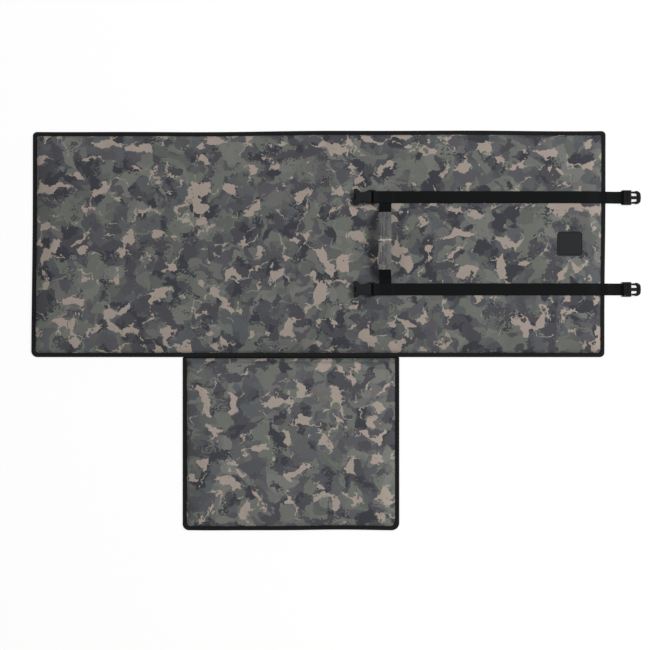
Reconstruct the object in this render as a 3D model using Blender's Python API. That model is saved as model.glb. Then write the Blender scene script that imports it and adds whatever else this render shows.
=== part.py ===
"""An unhooking mat with a kneeling flap, lying flat with its camouflage side up.

Metres, +Z up. +X runs along the main pad towards the buckle plugs, and +Y away from the flap.
The origin is the middle of the main pad's underside, on the ground.
"""

import math

import bmesh
import bpy
from mathutils import Vector

# Gaps and cuts
FIT_GAP = 0.0003
CUT_OVERRUN = 0.002

# Edges that turn less than this are shaded smooth
SMOOTH_TURN = math.radians(40)

# Pads: a foam core between a top cover and a base cover
MAIN_LENGTH = 1.200
MAIN_WIDTH = 0.474
FLAP_LENGTH = 0.454
FLAP_DEPTH = 0.362
FLAP_CENTRE_X = -0.058
FOAM_THICKNESS = 0.015
COVER_THICKNESS = 0.0008
SHOULDER_RUN = 0.034
SHOULDER_STEPS = 6
HEM_TUCK = 0.0018
HEM_RAMP = 0.0044
HEM_CORNER_RADIUS = 0.007
CORNER_GROWTH_SHARE = 0.5
CORNER_STEPS = 5

# Edge binding: tape folded round the hems
BINDING_WIDTH = 0.009
BINDING_THICKNESS = 0.0008
BINDING_FOLD_STEPS = 6
FLAP_BINDING_SETBACK = 0.0025

# Webbing straps across the main pad
WEBBING_WIDTH = 0.025
WEBBING_THICKNESS = 0.0015
REAR_STRAP_Y = 0.097
FRONT_STRAP_Y = -0.0952
SOCKET_BAR_X = 0.115
LOOP_TAIL = 0.007
LOOP_STEPS = 10
STRAP_STEP_RUN = 0.004
BEAD_STEPS = 6

# Carry handle
HANDLE_SETBACK = 0.0243
HANDLE_RISE = 0.0275
HANDLE_RAMP = 0.046
HANDLE_END_STEPS = 6
SLEEVE_FROM_Y = -0.0525
SLEEVE_TO_Y = 0.063
SLEEVE_THICKNESS = 0.001
SLEEVE_WIDTH = 0.0268
SLEEVE_STEPS = 14
SLEEVE_CORNER = 0.0007

# Buckle sockets
BAR_RADIUS = 0.002
SOCKET_REACH = 0.0415
SOCKET_HEIGHT = 0.011
SOCKET_WALL = 0.0022
SOCKET_SIDE_WALL = 0.0026
SOCKET_NECK_WIDTH = 0.0296
SOCKET_WAIST_WIDTH = 0.019
SOCKET_MOUTH_WIDTH = 0.034
SOCKET_BACK_WALL = 0.006
SOCKET_NECK_SHARE = 0.22
SOCKET_WAIST_SHARE = 0.54
SOCKET_SHOULDER_SHARE = 0.84
SOCKET_CORNER_SHARE = 0.05
CURVE_STEPS = 5

# Buckle plugs
STRAP_END_REACH = 0.0384
STRAP_END_TAIL = 0.020
STRAP_END_OVERHANG_SHARE = 0.6
PLUG_WIDTH = 0.031
PLUG_HEIGHT = 0.008
PLUG_FRAME_REACH = 0.0150
PLUG_TONGUE_REACH = 0.0300
TONGUE_WIDTH = 0.0070
TONGUE_HEAD_WIDTH = 0.0096
TONGUE_HEIGHT = 0.0046
PRONG_REACH = 0.0355
PRONG_SPREAD = 0.0282
PRONG_HEIGHT = 0.0054
PRONG_CLEARANCE = 0.0003

# One prong's outline: shares of its length, and of half the spread
PRONG_OUTLINE_SHARES = (
    (0.00, 0.70), (0.00, 0.90), (0.24, 0.91), (0.40, 0.90), (0.43, 1.00), (0.54, 0.99),
    (0.66, 0.94), (0.77, 0.84), (0.87, 0.70), (0.95, 0.53), (1.00, 0.34), (0.985, 0.22),
    (0.93, 0.21), (0.86, 0.34), (0.77, 0.50), (0.66, 0.62), (0.53, 0.70), (0.38, 0.72),
)

# Sewn trim
TACK_LENGTH = 0.0024
TACK_HEIGHT = 0.0007
TACK_MARGIN = 0.002
TACK_EDGE_INSET = 0.0045
PATCH_SETBACK = 0.076
PATCH_LENGTH = 0.052
PATCH_WIDTH = 0.050
PATCH_THICKNESS = 0.0012
PATCH_CORNER_RADIUS = 0.006

# Levels of the layers at the hem and over the pad
BASE_HEM_LOW = BINDING_THICKNESS + FIT_GAP
TOP_HEM_LOW = BASE_HEM_LOW + COVER_THICKNESS + FIT_GAP
TOP_LEAF_LOW = TOP_HEM_LOW + COVER_THICKNESS + FIT_GAP
HEM_HEIGHT = TOP_LEAF_LOW + BINDING_THICKNESS
FOAM_LOW = COVER_THICKNESS + FIT_GAP
PAD_TOP = FOAM_LOW + FOAM_THICKNESS + FIT_GAP + COVER_THICKNESS
STRAP_LEVEL = PAD_TOP + FIT_GAP + WEBBING_THICKNESS / 2
OVER_TAB_LEVEL = STRAP_LEVEL + WEBBING_THICKNESS + FIT_GAP
SHOULDER_START = BINDING_WIDTH + FIT_GAP + COVER_THICKNESS / 2
RAMP_START = BINDING_WIDTH + 2 * FIT_GAP
RAMP_END = RAMP_START + HEM_RAMP

# Places that follow from the sizes
MAIN_RECT = (-MAIN_LENGTH / 2, MAIN_LENGTH / 2, -MAIN_WIDTH / 2, MAIN_WIDTH / 2)
FLAP_REAR_Y = -MAIN_WIDTH / 2 - FIT_GAP
FLAP_RECT = (
    FLAP_CENTRE_X - FLAP_LENGTH / 2,
    FLAP_CENTRE_X + FLAP_LENGTH / 2,
    FLAP_REAR_Y - FLAP_DEPTH,
    FLAP_REAR_Y,
)
HANDLE_X = SOCKET_BAR_X + HANDLE_SETBACK
PATCH_X = MAIN_LENGTH / 2 - PATCH_SETBACK
LOOP_RADIUS = BAR_RADIUS + FIT_GAP + WEBBING_THICKNESS / 2
SOCKET_BAR_Z = STRAP_LEVEL + LOOP_RADIUS
HEM_STRAP_LEVEL = HEM_HEIGHT + FIT_GAP + WEBBING_THICKNESS / 2
STRAP_END_X = MAIN_LENGTH / 2 + STRAP_END_OVERHANG_SHARE * WEBBING_THICKNESS
STRAP_END_Z = HEM_STRAP_LEVEL + WEBBING_THICKNESS
PLUG_BAR_X = STRAP_END_X + STRAP_END_REACH
PLUG_BAR_Z = PLUG_HEIGHT / 2
SLOT_HALF = WEBBING_WIDTH / 2 + FIT_GAP
SLOT_REACH = LOOP_RADIUS + WEBBING_THICKNESS / 2 + 2 * FIT_GAP
PRONG_ROOT_X = PLUG_BAR_X + PLUG_FRAME_REACH + PRONG_CLEARANCE
PRONG_LENGTH = PRONG_REACH - PLUG_FRAME_REACH - PRONG_CLEARANCE
STRAP_YS = {"rear": REAR_STRAP_Y, "front": FRONT_STRAP_Y}
HANDLE_REAR_Y = REAR_STRAP_Y - WEBBING_WIDTH / 2
HANDLE_FRONT_Y = FRONT_STRAP_Y + WEBBING_WIDTH / 2


def linear(level):
    """One channel of a screen colour, 0 to 255, as a linear value."""
    share = level / 255
    if share <= 0.04045:
        return share / 12.92
    return ((share + 0.055) / 1.055) ** 2.4


def finish(name, colour, roughness, metallic=0.0):
    """A plain material in a colour read off the object."""
    material = bpy.data.materials.new(name)
    material.use_nodes = True
    shader = material.node_tree.nodes["Principled BSDF"]
    shader.inputs["Base Color"].default_value = (*map(linear, colour), 1.0)
    shader.inputs["Roughness"].default_value = roughness
    shader.inputs["Metallic"].default_value = metallic
    return material


def pivot(name, position, parent=None):
    """An empty on a joint's axis, which carries the pieces that turn there."""
    empty = bpy.data.objects.new(name, None)
    bpy.context.scene.collection.objects.link(empty)
    home = Vector(position)
    if parent is not None:
        empty.parent = parent
        home = home - Vector(parent["home"])
    empty.location = home
    empty["home"] = tuple(position)
    return empty


def skin(rings, closed=False):
    """A closed mesh through rings of points: capped at both ends, or joined last to first."""
    mesh = bmesh.new()
    rows = [[mesh.verts.new(point) for point in ring] for ring in rings]
    pairs = list(zip(rows, rows[1:]))
    if closed:
        pairs.append((rows[-1], rows[0]))
    else:
        mesh.faces.new(list(reversed(rows[0])))
        mesh.faces.new(rows[-1])
    for near, far in pairs:
        for index in range(len(near)):
            after = (index + 1) % len(near)
            mesh.faces.new((near[index], near[after], far[after], far[index]))
    bmesh.ops.recalc_face_normals(mesh, faces=mesh.faces)
    return mesh


def standing(outline, low, high):
    """A prism along Z over an outline of x and y."""
    return skin([[(x, y, z) for x, y in outline] for z in (low, high)])


def lengthwise(outline, low, high):
    """A prism along Y over an outline of x and z."""
    return skin([[(x, y, z) for x, z in outline] for y in (low, high)])


def add_piece(name, mesh, material, parent=None, smooth_angle=None, cutter=False):
    """Turns world-space faces into a named object that its pivot carries."""
    home = Vector(parent["home"]) if parent is not None else Vector((0, 0, 0))
    bmesh.ops.translate(mesh, verts=mesh.verts, vec=-home)
    data = bpy.data.meshes.new(name)
    mesh.to_mesh(data)
    mesh.free()
    if smooth_angle is not None:
        data.shade_smooth()
        data.set_sharp_from_angle(angle=smooth_angle)
    piece = bpy.data.objects.new(name, data)
    bpy.context.scene.collection.objects.link(piece)
    piece.parent = parent
    if material is not None:
        data.materials.append(material)
    if cutter:
        piece.hide_render = True
        piece.display_type = "WIRE"
    return piece


def combine(piece, operation, other):
    """Cuts, joins or trims a piece with a hidden helper."""
    change = piece.modifiers.new(other.name, "BOOLEAN")
    change.operation = operation
    change.solver = "EXACT"
    change.object = other


def offset_path(points, distance):
    """The path moved sideways, to its left, with mitred corners."""
    steps = [(Vector(b) - Vector(a)).normalized() for a, b in zip(points, points[1:])]
    sides = [Vector((-step.y, step.x)) for step in steps]
    moved = []
    for index, point in enumerate(points):
        before = sides[max(index - 1, 0)]
        after = sides[min(index, len(sides) - 1)]
        moved.append(Vector(point) + (before + after) * (distance / (1 + before.dot(after))))
    return [(point.x, point.y) for point in moved]


def arc(centre, radius, start, end, steps):
    """Points on an arc, from one angle to another."""
    turns = [start + (end - start) * index / steps for index in range(steps + 1)]
    return [(centre[0] + radius * math.cos(turn), centre[1] + radius * math.sin(turn)) for turn in turns]


def wrap(centre, radius, before, after):
    """The clockwise arc of a strip that comes from one point, bends round a bar and leaves for another."""
    ends = []
    for point, sign in ((before, -1), (after, 1)):
        away = Vector(point) - Vector(centre)
        ends.append(math.atan2(away.y, away.x) + sign * math.acos(radius / away.length))
    start, end = ends
    while end > start:
        end -= 2 * math.pi
    return arc(centre, radius, start, end, LOOP_STEPS)


def ribbon_outline(path, thickness, round_start=False):
    """The edge of a bent strip, seen from its side."""
    upper = offset_path(path, thickness / 2)
    lower = offset_path(path, -thickness / 2)
    outline = lower + list(reversed(upper))
    if round_start:
        heading = math.atan2(path[1][1] - path[0][1], path[1][0] - path[0][0])
        bead = arc(path[0], thickness / 2, heading + math.pi / 2, heading + 3 * math.pi / 2, BEAD_STEPS)
        outline += bead[1:-1]
    return outline


def corner_radius(inset):
    """How round a loop's corners are, at this distance in from the pad's edge."""
    return HEM_CORNER_RADIUS + CORNER_GROWTH_SHARE * inset


def loop_corner(rect, inset, quarter):
    """One rounded corner of a pad loop; quarter 0 is rear right, and they go anticlockwise."""
    x_low, x_high, y_low, y_high = rect
    radius = corner_radius(inset)
    side_x = x_high - inset - radius if quarter in (0, 3) else x_low + inset + radius
    side_y = y_high - inset - radius if quarter in (0, 1) else y_low + inset + radius
    start = quarter * math.pi / 2
    return arc((side_x, side_y), radius, start, start + math.pi / 2, CORNER_STEPS)


def pad_loop(rect, inset, level):
    """A whole loop round a pad, at one distance in from its edge and one level."""
    corners = [loop_corner(rect, inset, quarter) for quarter in range(4)]
    return [(x, y, level) for corner in corners for x, y in corner]


def shoulder_curve():
    """The rounded shoulder of the top cover, on its middle surface, as inset and level."""
    low = TOP_HEM_LOW + COVER_THICKNESS / 2
    rise = PAD_TOP - COVER_THICKNESS / 2 - low
    points = []
    for index in range(SHOULDER_STEPS + 1):
        turn = math.pi / 2 * index / SHOULDER_STEPS
        points.append((SHOULDER_START + SHOULDER_RUN * (1 - math.cos(turn)), low + rise * math.sin(turn)))
    return points


def add_pad(prefix, rect, parent):
    """The foam core and the two covers of one pad."""
    shoulder = shoulder_curve()
    half = COVER_THICKNESS / 2

    top_path = [(HEM_TUCK, shoulder[0][1])] + shoulder
    top_rings = list(reversed(offset_path(top_path, half))) + offset_path(top_path, -half)
    top = skin([pad_loop(rect, inset, level) for inset, level in top_rings])
    add_piece(prefix + "_top_cover", top, CAMOUFLAGE, parent, SMOOTH_TURN)

    hem_level = BASE_HEM_LOW + half
    base_path = [(HEM_TUCK, hem_level), (RAMP_START, hem_level), (RAMP_END, half)]
    base_path.append((RAMP_END + HEM_RAMP, half))
    base_rings = list(reversed(offset_path(base_path, half))) + offset_path(base_path, -half)
    base = skin([pad_loop(rect, inset, level) for inset, level in base_rings])
    add_piece(prefix + "_base_cover", base, BASE_FABRIC, parent)

    foam_rings = [(RAMP_END + 2 * FIT_GAP, FOAM_LOW)] + offset_path(shoulder, -half - FIT_GAP)
    foam = skin([pad_loop(rect, inset, level) for inset, level in foam_rings])
    add_piece(prefix + "_foam_core", foam, FOAM, parent, SMOOTH_TURN)


def binding_profile():
    """The folded tape's cross-section, as inset and level."""
    outer = HEM_HEIGHT / 2
    inner = outer - BINDING_THICKNESS
    centre = (outer, outer)
    fold = arc(centre, outer, -math.pi / 2, -3 * math.pi / 2, BINDING_FOLD_STEPS)
    inside = arc(centre, inner, -3 * math.pi / 2, -math.pi / 2, BINDING_FOLD_STEPS)
    top_leaf = [(BINDING_WIDTH, HEM_HEIGHT), (BINDING_WIDTH, TOP_LEAF_LOW)]
    base_leaf = [(BINDING_WIDTH, BINDING_THICKNESS), (BINDING_WIDTH, 0)]
    return fold + top_leaf + inside + base_leaf


def add_main_binding():
    """One closed ring of tape round the main pad."""
    loops = [pad_loop(MAIN_RECT, inset, level) for inset, level in binding_profile()]
    add_piece("main_edge_binding", skin(loops, closed=True), BINDING, None, SMOOTH_TURN)


def add_flap_binding(parent):
    """Tape round the flap's three free sides, and the tape that hinges its fourth."""
    x_low, x_high, y_low, y_high = FLAP_RECT
    end_y = y_high - FLAP_BINDING_SETBACK
    sides = []
    for inset, level in binding_profile():
        run = [(x_low + inset, end_y)]
        run += loop_corner(FLAP_RECT, inset, 2) + loop_corner(FLAP_RECT, inset, 3)
        run.append((x_high - inset, end_y))
        sides.append([(x, y, level) for x, y in run])
    stations = [list(station) for station in zip(*sides)]
    add_piece("flap_edge_binding", skin(stations), BINDING, parent, SMOOTH_TURN)

    margin = BINDING_WIDTH + FIT_GAP
    tape = [
        (x_low + margin, y_high - BINDING_WIDTH),
        (x_high - margin, y_high - BINDING_WIDTH),
        (x_high - margin, y_high),
        (x_low + margin, y_high),
    ]
    add_piece("flap_hinge_tape", standing(tape, 0, BINDING_THICKNESS), BINDING, parent)


def strap_path():
    """A long strap seen from the front: its loop round the socket's bar, then along the pad to the edge."""
    tab_low = HANDLE_X - WEBBING_WIDTH / 2 - FIT_GAP
    tab_high = HANDLE_X + WEBBING_WIDTH / 2 + FIT_GAP
    tail = (SOCKET_BAR_X + LOOP_TAIL, STRAP_LEVEL)
    landing = (tab_low - WEBBING_THICKNESS, OVER_TAB_LEVEL)
    path = [tail] + wrap((SOCKET_BAR_X, SOCKET_BAR_Z), LOOP_RADIUS, tail, landing) + [landing]
    path.append((tab_high + WEBBING_THICKNESS, OVER_TAB_LEVEL))
    path.append((tab_high + WEBBING_THICKNESS + STRAP_STEP_RUN, STRAP_LEVEL))
    stand_off = COVER_THICKNESS / 2 + FIT_GAP + WEBBING_THICKNESS / 2
    over_shoulder = offset_path(shoulder_curve(), stand_off)
    for inset, level in reversed(over_shoulder[1:]):
        path.append((MAIN_LENGTH / 2 - inset, level))
    path.append((MAIN_LENGTH / 2 - SHOULDER_START + STRAP_STEP_RUN, HEM_STRAP_LEVEL))
    path.append((MAIN_LENGTH / 2, HEM_STRAP_LEVEL))
    return path


def add_strap(side, centre_y):
    """A long strap, and the two bar tacks on it."""
    low = centre_y - WEBBING_WIDTH / 2
    high = centre_y + WEBBING_WIDTH / 2
    outline = ribbon_outline(strap_path(), WEBBING_THICKNESS)
    add_piece(side + "_strap", lengthwise(outline, low, high), WEBBING)

    tack_places = {
        "handle": (HANDLE_X, OVER_TAB_LEVEL),
        "edge": (MAIN_LENGTH / 2 - TACK_EDGE_INSET, HEM_STRAP_LEVEL),
    }
    for place, (centre_x, strap_level) in tack_places.items():
        foot = strap_level + WEBBING_THICKNESS / 2 + FIT_GAP
        half = TACK_LENGTH / 2
        ridge = [
            (centre_x - half, foot),
            (centre_x + half, foot),
            (centre_x + half, foot + TACK_HEIGHT / 2),
            (centre_x + half / 2, foot + TACK_HEIGHT),
            (centre_x - half / 2, foot + TACK_HEIGHT),
            (centre_x - half, foot + TACK_HEIGHT / 2),
        ]
        tack = lengthwise(ridge, low + TACK_MARGIN, high - TACK_MARGIN)
        add_piece(side + "_strap_" + place + "_tack", tack, THREAD)


def add_patch():
    """The blank patch sewn on near the right edge."""
    quarters = []
    for quarter in range(4):
        sign_x = 1 if quarter in (0, 3) else -1
        sign_y = 1 if quarter in (0, 1) else -1
        centre_x = PATCH_X + sign_x * (PATCH_LENGTH / 2 - PATCH_CORNER_RADIUS)
        centre_y = sign_y * (PATCH_WIDTH / 2 - PATCH_CORNER_RADIUS)
        start = quarter * math.pi / 2
        quarters += arc((centre_x, centre_y), PATCH_CORNER_RADIUS, start, start + math.pi / 2, CORNER_STEPS)
    low = PAD_TOP + FIT_GAP
    add_piece("blank_patch", standing(quarters, low, low + PATCH_THICKNESS), PATCH)


def handle_level(y):
    """Height of the handle's webbing, on its middle surface, at a place between its two tabs."""
    from_end = min(HANDLE_REAR_Y - y, y - HANDLE_FRONT_Y)
    share = min(max(from_end / HANDLE_RAMP, 0), 1)
    return STRAP_LEVEL + HANDLE_RISE * share * share * (3 - 2 * share)


def handle_path(low, high, steps):
    """The handle's middle line between two places along Y."""
    ys = [low + (high - low) * index / steps for index in range(steps + 1)]
    return [(y, handle_level(y)) for y in ys]


def add_handle(parent):
    """The webbing arch and the sleeve round its grip."""
    middle = handle_path(SLEEVE_FROM_Y, SLEEVE_TO_Y, SLEEVE_STEPS)
    front_end = handle_path(HANDLE_FRONT_Y, SLEEVE_FROM_Y, HANDLE_END_STEPS)
    rear_end = handle_path(SLEEVE_TO_Y, HANDLE_REAR_Y, HANDLE_END_STEPS)
    outline = ribbon_outline(front_end[:-1] + middle + rear_end[1:], WEBBING_THICKNESS)
    half = WEBBING_WIDTH / 2
    webbing = skin([[(x, y, z) for y, z in outline] for x in (HANDLE_X - half, HANDLE_X + half)])
    add_piece("handle_webbing", webbing, WEBBING, parent, SMOOTH_TURN)

    inner_half = WEBBING_THICKNESS / 2 + FIT_GAP
    outer_half = inner_half + SLEEVE_THICKNESS
    outer = sleeve_rings(middle, SLEEVE_WIDTH / 2, outer_half, SLEEVE_CORNER)
    inner = sleeve_rings(middle, half + FIT_GAP, inner_half, FIT_GAP)
    sleeve = skin(outer + list(reversed(inner)), closed=True)
    add_piece("handle_sleeve", sleeve, CAMOUFLAGE, parent, SMOOTH_TURN)

    for side, inner_y, outer_y in (
        ("rear", HANDLE_REAR_Y + FIT_GAP, REAR_STRAP_Y + WEBBING_WIDTH / 2),
        ("front", FRONT_STRAP_Y - WEBBING_WIDTH / 2, HANDLE_FRONT_Y - FIT_GAP),
    ):
        level = PAD_TOP + FIT_GAP
        foot = [
            (HANDLE_X - half, min(inner_y, outer_y)),
            (HANDLE_X + half, min(inner_y, outer_y)),
            (HANDLE_X + half, max(inner_y, outer_y)),
            (HANDLE_X - half, max(inner_y, outer_y)),
        ]
        add_piece(side + "_handle_tab", standing(foot, level, level + WEBBING_THICKNESS), WEBBING)


def sleeve_rings(middle, half_width, half_height, corner):
    """Flattened eight-sided rings square to the handle's middle line."""
    above = offset_path(middle, half_height)
    near_above = offset_path(middle, half_height - corner)
    near_below = offset_path(middle, corner - half_height)
    below = offset_path(middle, -half_height)
    rings = []
    for high, mid_high, mid_low, low in zip(above, near_above, near_below, below):
        ring = [
            (HANDLE_X + half_width - corner, *high),
            (HANDLE_X - half_width + corner, *high),
            (HANDLE_X - half_width, *mid_high),
            (HANDLE_X - half_width, *mid_low),
            (HANDLE_X - half_width + corner, *low),
            (HANDLE_X + half_width - corner, *low),
            (HANDLE_X + half_width, *mid_low),
            (HANDLE_X + half_width, *mid_high),
        ]
        rings.append(ring)
    return rings


def eased_edge(stations):
    """Half widths along a moulding: smooth between stations of reach and half width."""
    edge = [stations[0]]
    for (reach, half), (next_reach, next_half) in zip(stations, stations[1:]):
        steps = CURVE_STEPS if next_half != half else 1
        for index in range(1, steps + 1):
            share = index / steps
            ease = (1 - math.cos(math.pi * share)) / 2
            edge.append((reach + (next_reach - reach) * share, half + (next_half - half) * ease))
    return edge


def add_socket(side, centre_y, parent):
    """A buckle socket: its waisted shell, the bar that the strap holds, and the pocket for the plug."""
    reach = SOCKET_REACH
    end = WEBBING_THICKNESS / 2 + LOOP_RADIUS
    corner = SOCKET_CORNER_SHARE * reach
    edge = eased_edge([
        (-end, SOCKET_NECK_WIDTH / 2),
        (SOCKET_NECK_SHARE * reach, SOCKET_NECK_WIDTH / 2),
        (SOCKET_WAIST_SHARE * reach, SOCKET_WAIST_WIDTH / 2),
        (SOCKET_SHOULDER_SHARE * reach, SOCKET_MOUTH_WIDTH / 2),
        (reach - corner, SOCKET_MOUTH_WIDTH / 2),
    ])
    edge.append((reach, SOCKET_MOUTH_WIDTH / 2 - corner))
    one_side = [(SOCKET_BAR_X - along, centre_y + half) for along, half in edge]
    other_side = [(SOCKET_BAR_X - along, centre_y - half) for along, half in edge]
    plan = one_side + list(reversed(other_side))

    low = SOCKET_BAR_Z - end
    high = low + SOCKET_HEIGHT
    lip = SOCKET_WALL / 2
    profile = arc((SOCKET_BAR_X, SOCKET_BAR_Z), end, math.pi / 2, -math.pi / 2, CURVE_STEPS)
    profile += [
        (SOCKET_BAR_X - reach + lip, low),
        (SOCKET_BAR_X - reach, low + lip),
        (SOCKET_BAR_X - reach, high - lip),
        (SOCKET_BAR_X - reach + lip, high),
        (SOCKET_BAR_X - SOCKET_NECK_SHARE * reach, high),
    ]
    socket = add_piece(side + "_socket", standing(plan, low, high), SOCKET_PLASTIC, parent)

    wide = SOCKET_MOUTH_WIDTH / 2 + CUT_OVERRUN
    shape = lengthwise(profile, centre_y - wide, centre_y + wide)
    combine(socket, "INTERSECT", add_piece(side + "_socket_shape", shape, None, parent, cutter=True))

    inside = SOCKET_MOUTH_WIDTH / 2 - SOCKET_SIDE_WALL
    back = SOCKET_BAR_X - SLOT_REACH - SOCKET_BACK_WALL
    mouth = SOCKET_BAR_X - reach - CUT_OVERRUN
    pocket_plan = box_outline(mouth, back, centre_y - inside, centre_y + inside)
    pocket = standing(pocket_plan, low + SOCKET_WALL, high - SOCKET_WALL)
    combine(socket, "DIFFERENCE", add_piece(side + "_socket_pocket", pocket, None, parent, cutter=True))

    bar = (SOCKET_BAR_X, centre_y, SOCKET_BAR_Z)
    add_slot_and_bar(socket, side + "_socket", bar, -1, SOCKET_HEIGHT, parent)


def box_outline(x_low, x_high, y_low, y_high):
    """A rectangle as an outline."""
    return [(x_low, y_low), (x_high, y_low), (x_high, y_high), (x_low, y_high)]


def add_slot_and_bar(piece, name, bar, direction, height, parent):
    """Opens a moulding's end for the webbing and puts the round bar across it."""
    x, y, z = bar
    far = x + direction * SLOT_REACH
    near = x - direction * (SLOT_REACH + CUT_OVERRUN)
    plan = box_outline(min(far, near), max(far, near), y - SLOT_HALF, y + SLOT_HALF)
    slot = standing(plan, z - height, z + height)
    combine(piece, "DIFFERENCE", add_piece(name + "_slot", slot, None, parent, cutter=True))

    circle = arc((x, z), BAR_RADIUS, 0, 2 * math.pi, 2 * BEAD_STEPS)[:-1]
    hold = SLOT_HALF + BAR_RADIUS / 2
    rod = lengthwise(circle, y - hold, y + hold)
    combine(piece, "UNION", add_piece(name + "_bar", rod, None, parent, cutter=True))


def strap_end_path():
    """A free strap end seen from the front: from the pad's edge, round the plug's bar and back below."""
    lap = WEBBING_THICKNESS + 2 * FIT_GAP
    slope = (PLUG_BAR_Z + LOOP_RADIUS - STRAP_END_Z) / (PLUG_BAR_X - STRAP_END_X)
    start = (STRAP_END_X, STRAP_END_Z)
    under = []
    for along in (2 * LOOP_RADIUS + WEBBING_THICKNESS, STRAP_END_TAIL):
        x = PLUG_BAR_X - along
        under.append((x, STRAP_END_Z + slope * (x - STRAP_END_X) - lap))
    return [start] + wrap((PLUG_BAR_X, PLUG_BAR_Z), LOOP_RADIUS, start, under[0]) + under


def add_strap_end(side, centre_y, parent):
    """The free webbing between the pad's edge and the plug."""
    outline = ribbon_outline(strap_end_path(), WEBBING_THICKNESS, round_start=True)
    half = WEBBING_WIDTH / 2
    add_piece(side + "_strap_end", lengthwise(outline, centre_y - half, centre_y + half), WEBBING, parent)


def add_plug(side, centre_y, parent):
    """A buckle plug's frame and centre tongue."""
    half = PLUG_WIDTH / 2
    radius = PLUG_HEIGHT / 2
    corner = BAR_RADIUS / 2
    head = TONGUE_HEAD_WIDTH / 2
    neck = TONGUE_WIDTH / 2
    head_centre = PLUG_TONGUE_REACH - head
    turn = math.asin(neck / head)
    edge = [(-radius, half), (PLUG_FRAME_REACH - corner, half), (PLUG_FRAME_REACH, half - corner)]
    edge.append((PLUG_FRAME_REACH, neck))
    edge += arc((head_centre, 0), head, math.pi - turn, 0, CURVE_STEPS)
    one_side = [(PLUG_BAR_X + along, centre_y + across) for along, across in edge]
    other_side = [(PLUG_BAR_X + along, centre_y - across) for along, across in edge[:-1]]
    plan = one_side + list(reversed(other_side))
    frame = add_piece(side + "_plug_frame", standing(plan, 0, PLUG_HEIGHT), PLUG_PLASTIC, parent)

    tongue = TONGUE_HEIGHT / 2
    tongue_lip = tongue / 2
    tip_x = PLUG_BAR_X + PLUG_TONGUE_REACH
    step_x = PLUG_BAR_X + PLUG_FRAME_REACH
    upper = [
        (step_x - corner, PLUG_BAR_Z + radius),
        (step_x, PLUG_BAR_Z + radius - corner),
        (step_x, PLUG_BAR_Z + tongue),
        (tip_x - tongue_lip, PLUG_BAR_Z + tongue),
        (tip_x, PLUG_BAR_Z + tongue - tongue_lip),
    ]
    lower = [(x, 2 * PLUG_BAR_Z - z) for x, z in reversed(upper)]
    profile = arc((PLUG_BAR_X, PLUG_BAR_Z), radius, 3 * math.pi / 2, math.pi / 2, CURVE_STEPS) + upper + lower
    wide = half + CUT_OVERRUN
    shape = lengthwise(profile, centre_y - wide, centre_y + wide)
    combine(frame, "INTERSECT", add_piece(side + "_plug_shape", shape, None, parent, cutter=True))
    bar = (PLUG_BAR_X, centre_y, PLUG_BAR_Z)
    add_slot_and_bar(frame, side + "_plug", bar, 1, PLUG_HEIGHT, parent)


def prong_root(centre_y, sign):
    """Where a prong bends: the middle of its root."""
    root_shares = [across for along, across in PRONG_OUTLINE_SHARES if along == 0]
    middle_share = sum(root_shares) / len(root_shares)
    return (PRONG_ROOT_X, centre_y + sign * middle_share * PRONG_SPREAD / 2, PLUG_BAR_Z)


def add_prong(side, place, sign, centre_y, parent):
    """One springy side prong of a plug."""
    outline = []
    for along, across in PRONG_OUTLINE_SHARES:
        outline.append((PRONG_ROOT_X + along * PRONG_LENGTH, centre_y + sign * across * PRONG_SPREAD / 2))
    low = PLUG_BAR_Z - PRONG_HEIGHT / 2
    prong = standing(outline, low, low + PRONG_HEIGHT)
    add_piece(side + "_plug_" + place + "_prong", prong, PLUG_PLASTIC, parent)


for leftover in list(bpy.data.objects):
    bpy.data.objects.remove(leftover, do_unlink=True)

CAMOUFLAGE = finish("camouflage_fabric", (97, 97, 96), 0.85)
BASE_FABRIC = finish("base_fabric", (58, 62, 56), 0.55)
FOAM = finish("foam", (176, 178, 180), 0.9)
BINDING = finish("binding_tape", (33, 33, 34), 0.75)
WEBBING = finish("webbing", (25, 25, 26), 0.7)
SOCKET_PLASTIC = finish("socket_plastic", (42, 43, 43), 0.45)
PLUG_PLASTIC = finish("plug_plastic", (30, 30, 31), 0.42)
THREAD = finish("tack_thread", (18, 18, 19), 0.8)
PATCH = finish("patch_rubber", (34, 35, 37), 0.6)

add_pad("main", MAIN_RECT, None)
add_main_binding()
add_patch()

flap_pivot = pivot("flap_fold_axis", (FLAP_CENTRE_X, -MAIN_WIDTH / 2 - FIT_GAP / 2, -FIT_GAP / 2))
add_pad("flap", FLAP_RECT, flap_pivot)
add_flap_binding(flap_pivot)

handle_pivot = pivot("handle_tilt_axis", (HANDLE_X, (HANDLE_REAR_Y + HANDLE_FRONT_Y) / 2, STRAP_LEVEL))
add_handle(handle_pivot)

for strap_side, strap_y in STRAP_YS.items():
    add_strap(strap_side, strap_y)
    socket_pivot = pivot(strap_side + "_socket_axis", (SOCKET_BAR_X, strap_y, SOCKET_BAR_Z))
    add_socket(strap_side, strap_y, socket_pivot)
    end_pivot = pivot(strap_side + "_strap_end_axis", (STRAP_END_X, strap_y, STRAP_END_Z))
    add_strap_end(strap_side, strap_y, end_pivot)
    plug_pivot = pivot(strap_side + "_plug_axis", (PLUG_BAR_X, strap_y, PLUG_BAR_Z), end_pivot)
    add_plug(strap_side, strap_y, plug_pivot)
    outward = 1 if strap_y > 0 else -1
    for prong_place, prong_sign in (("outer", outward), ("inner", -outward)):
        root = prong_root(strap_y, prong_sign)
        root_pivot = pivot(strap_side + "_plug_" + prong_place + "_prong_axis", root, plug_pivot)
        add_prong(strap_side, prong_place, prong_sign, strap_y, root_pivot)
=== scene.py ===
import math

import bmesh
import bpy
import numpy as np
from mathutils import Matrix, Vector, noise


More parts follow.
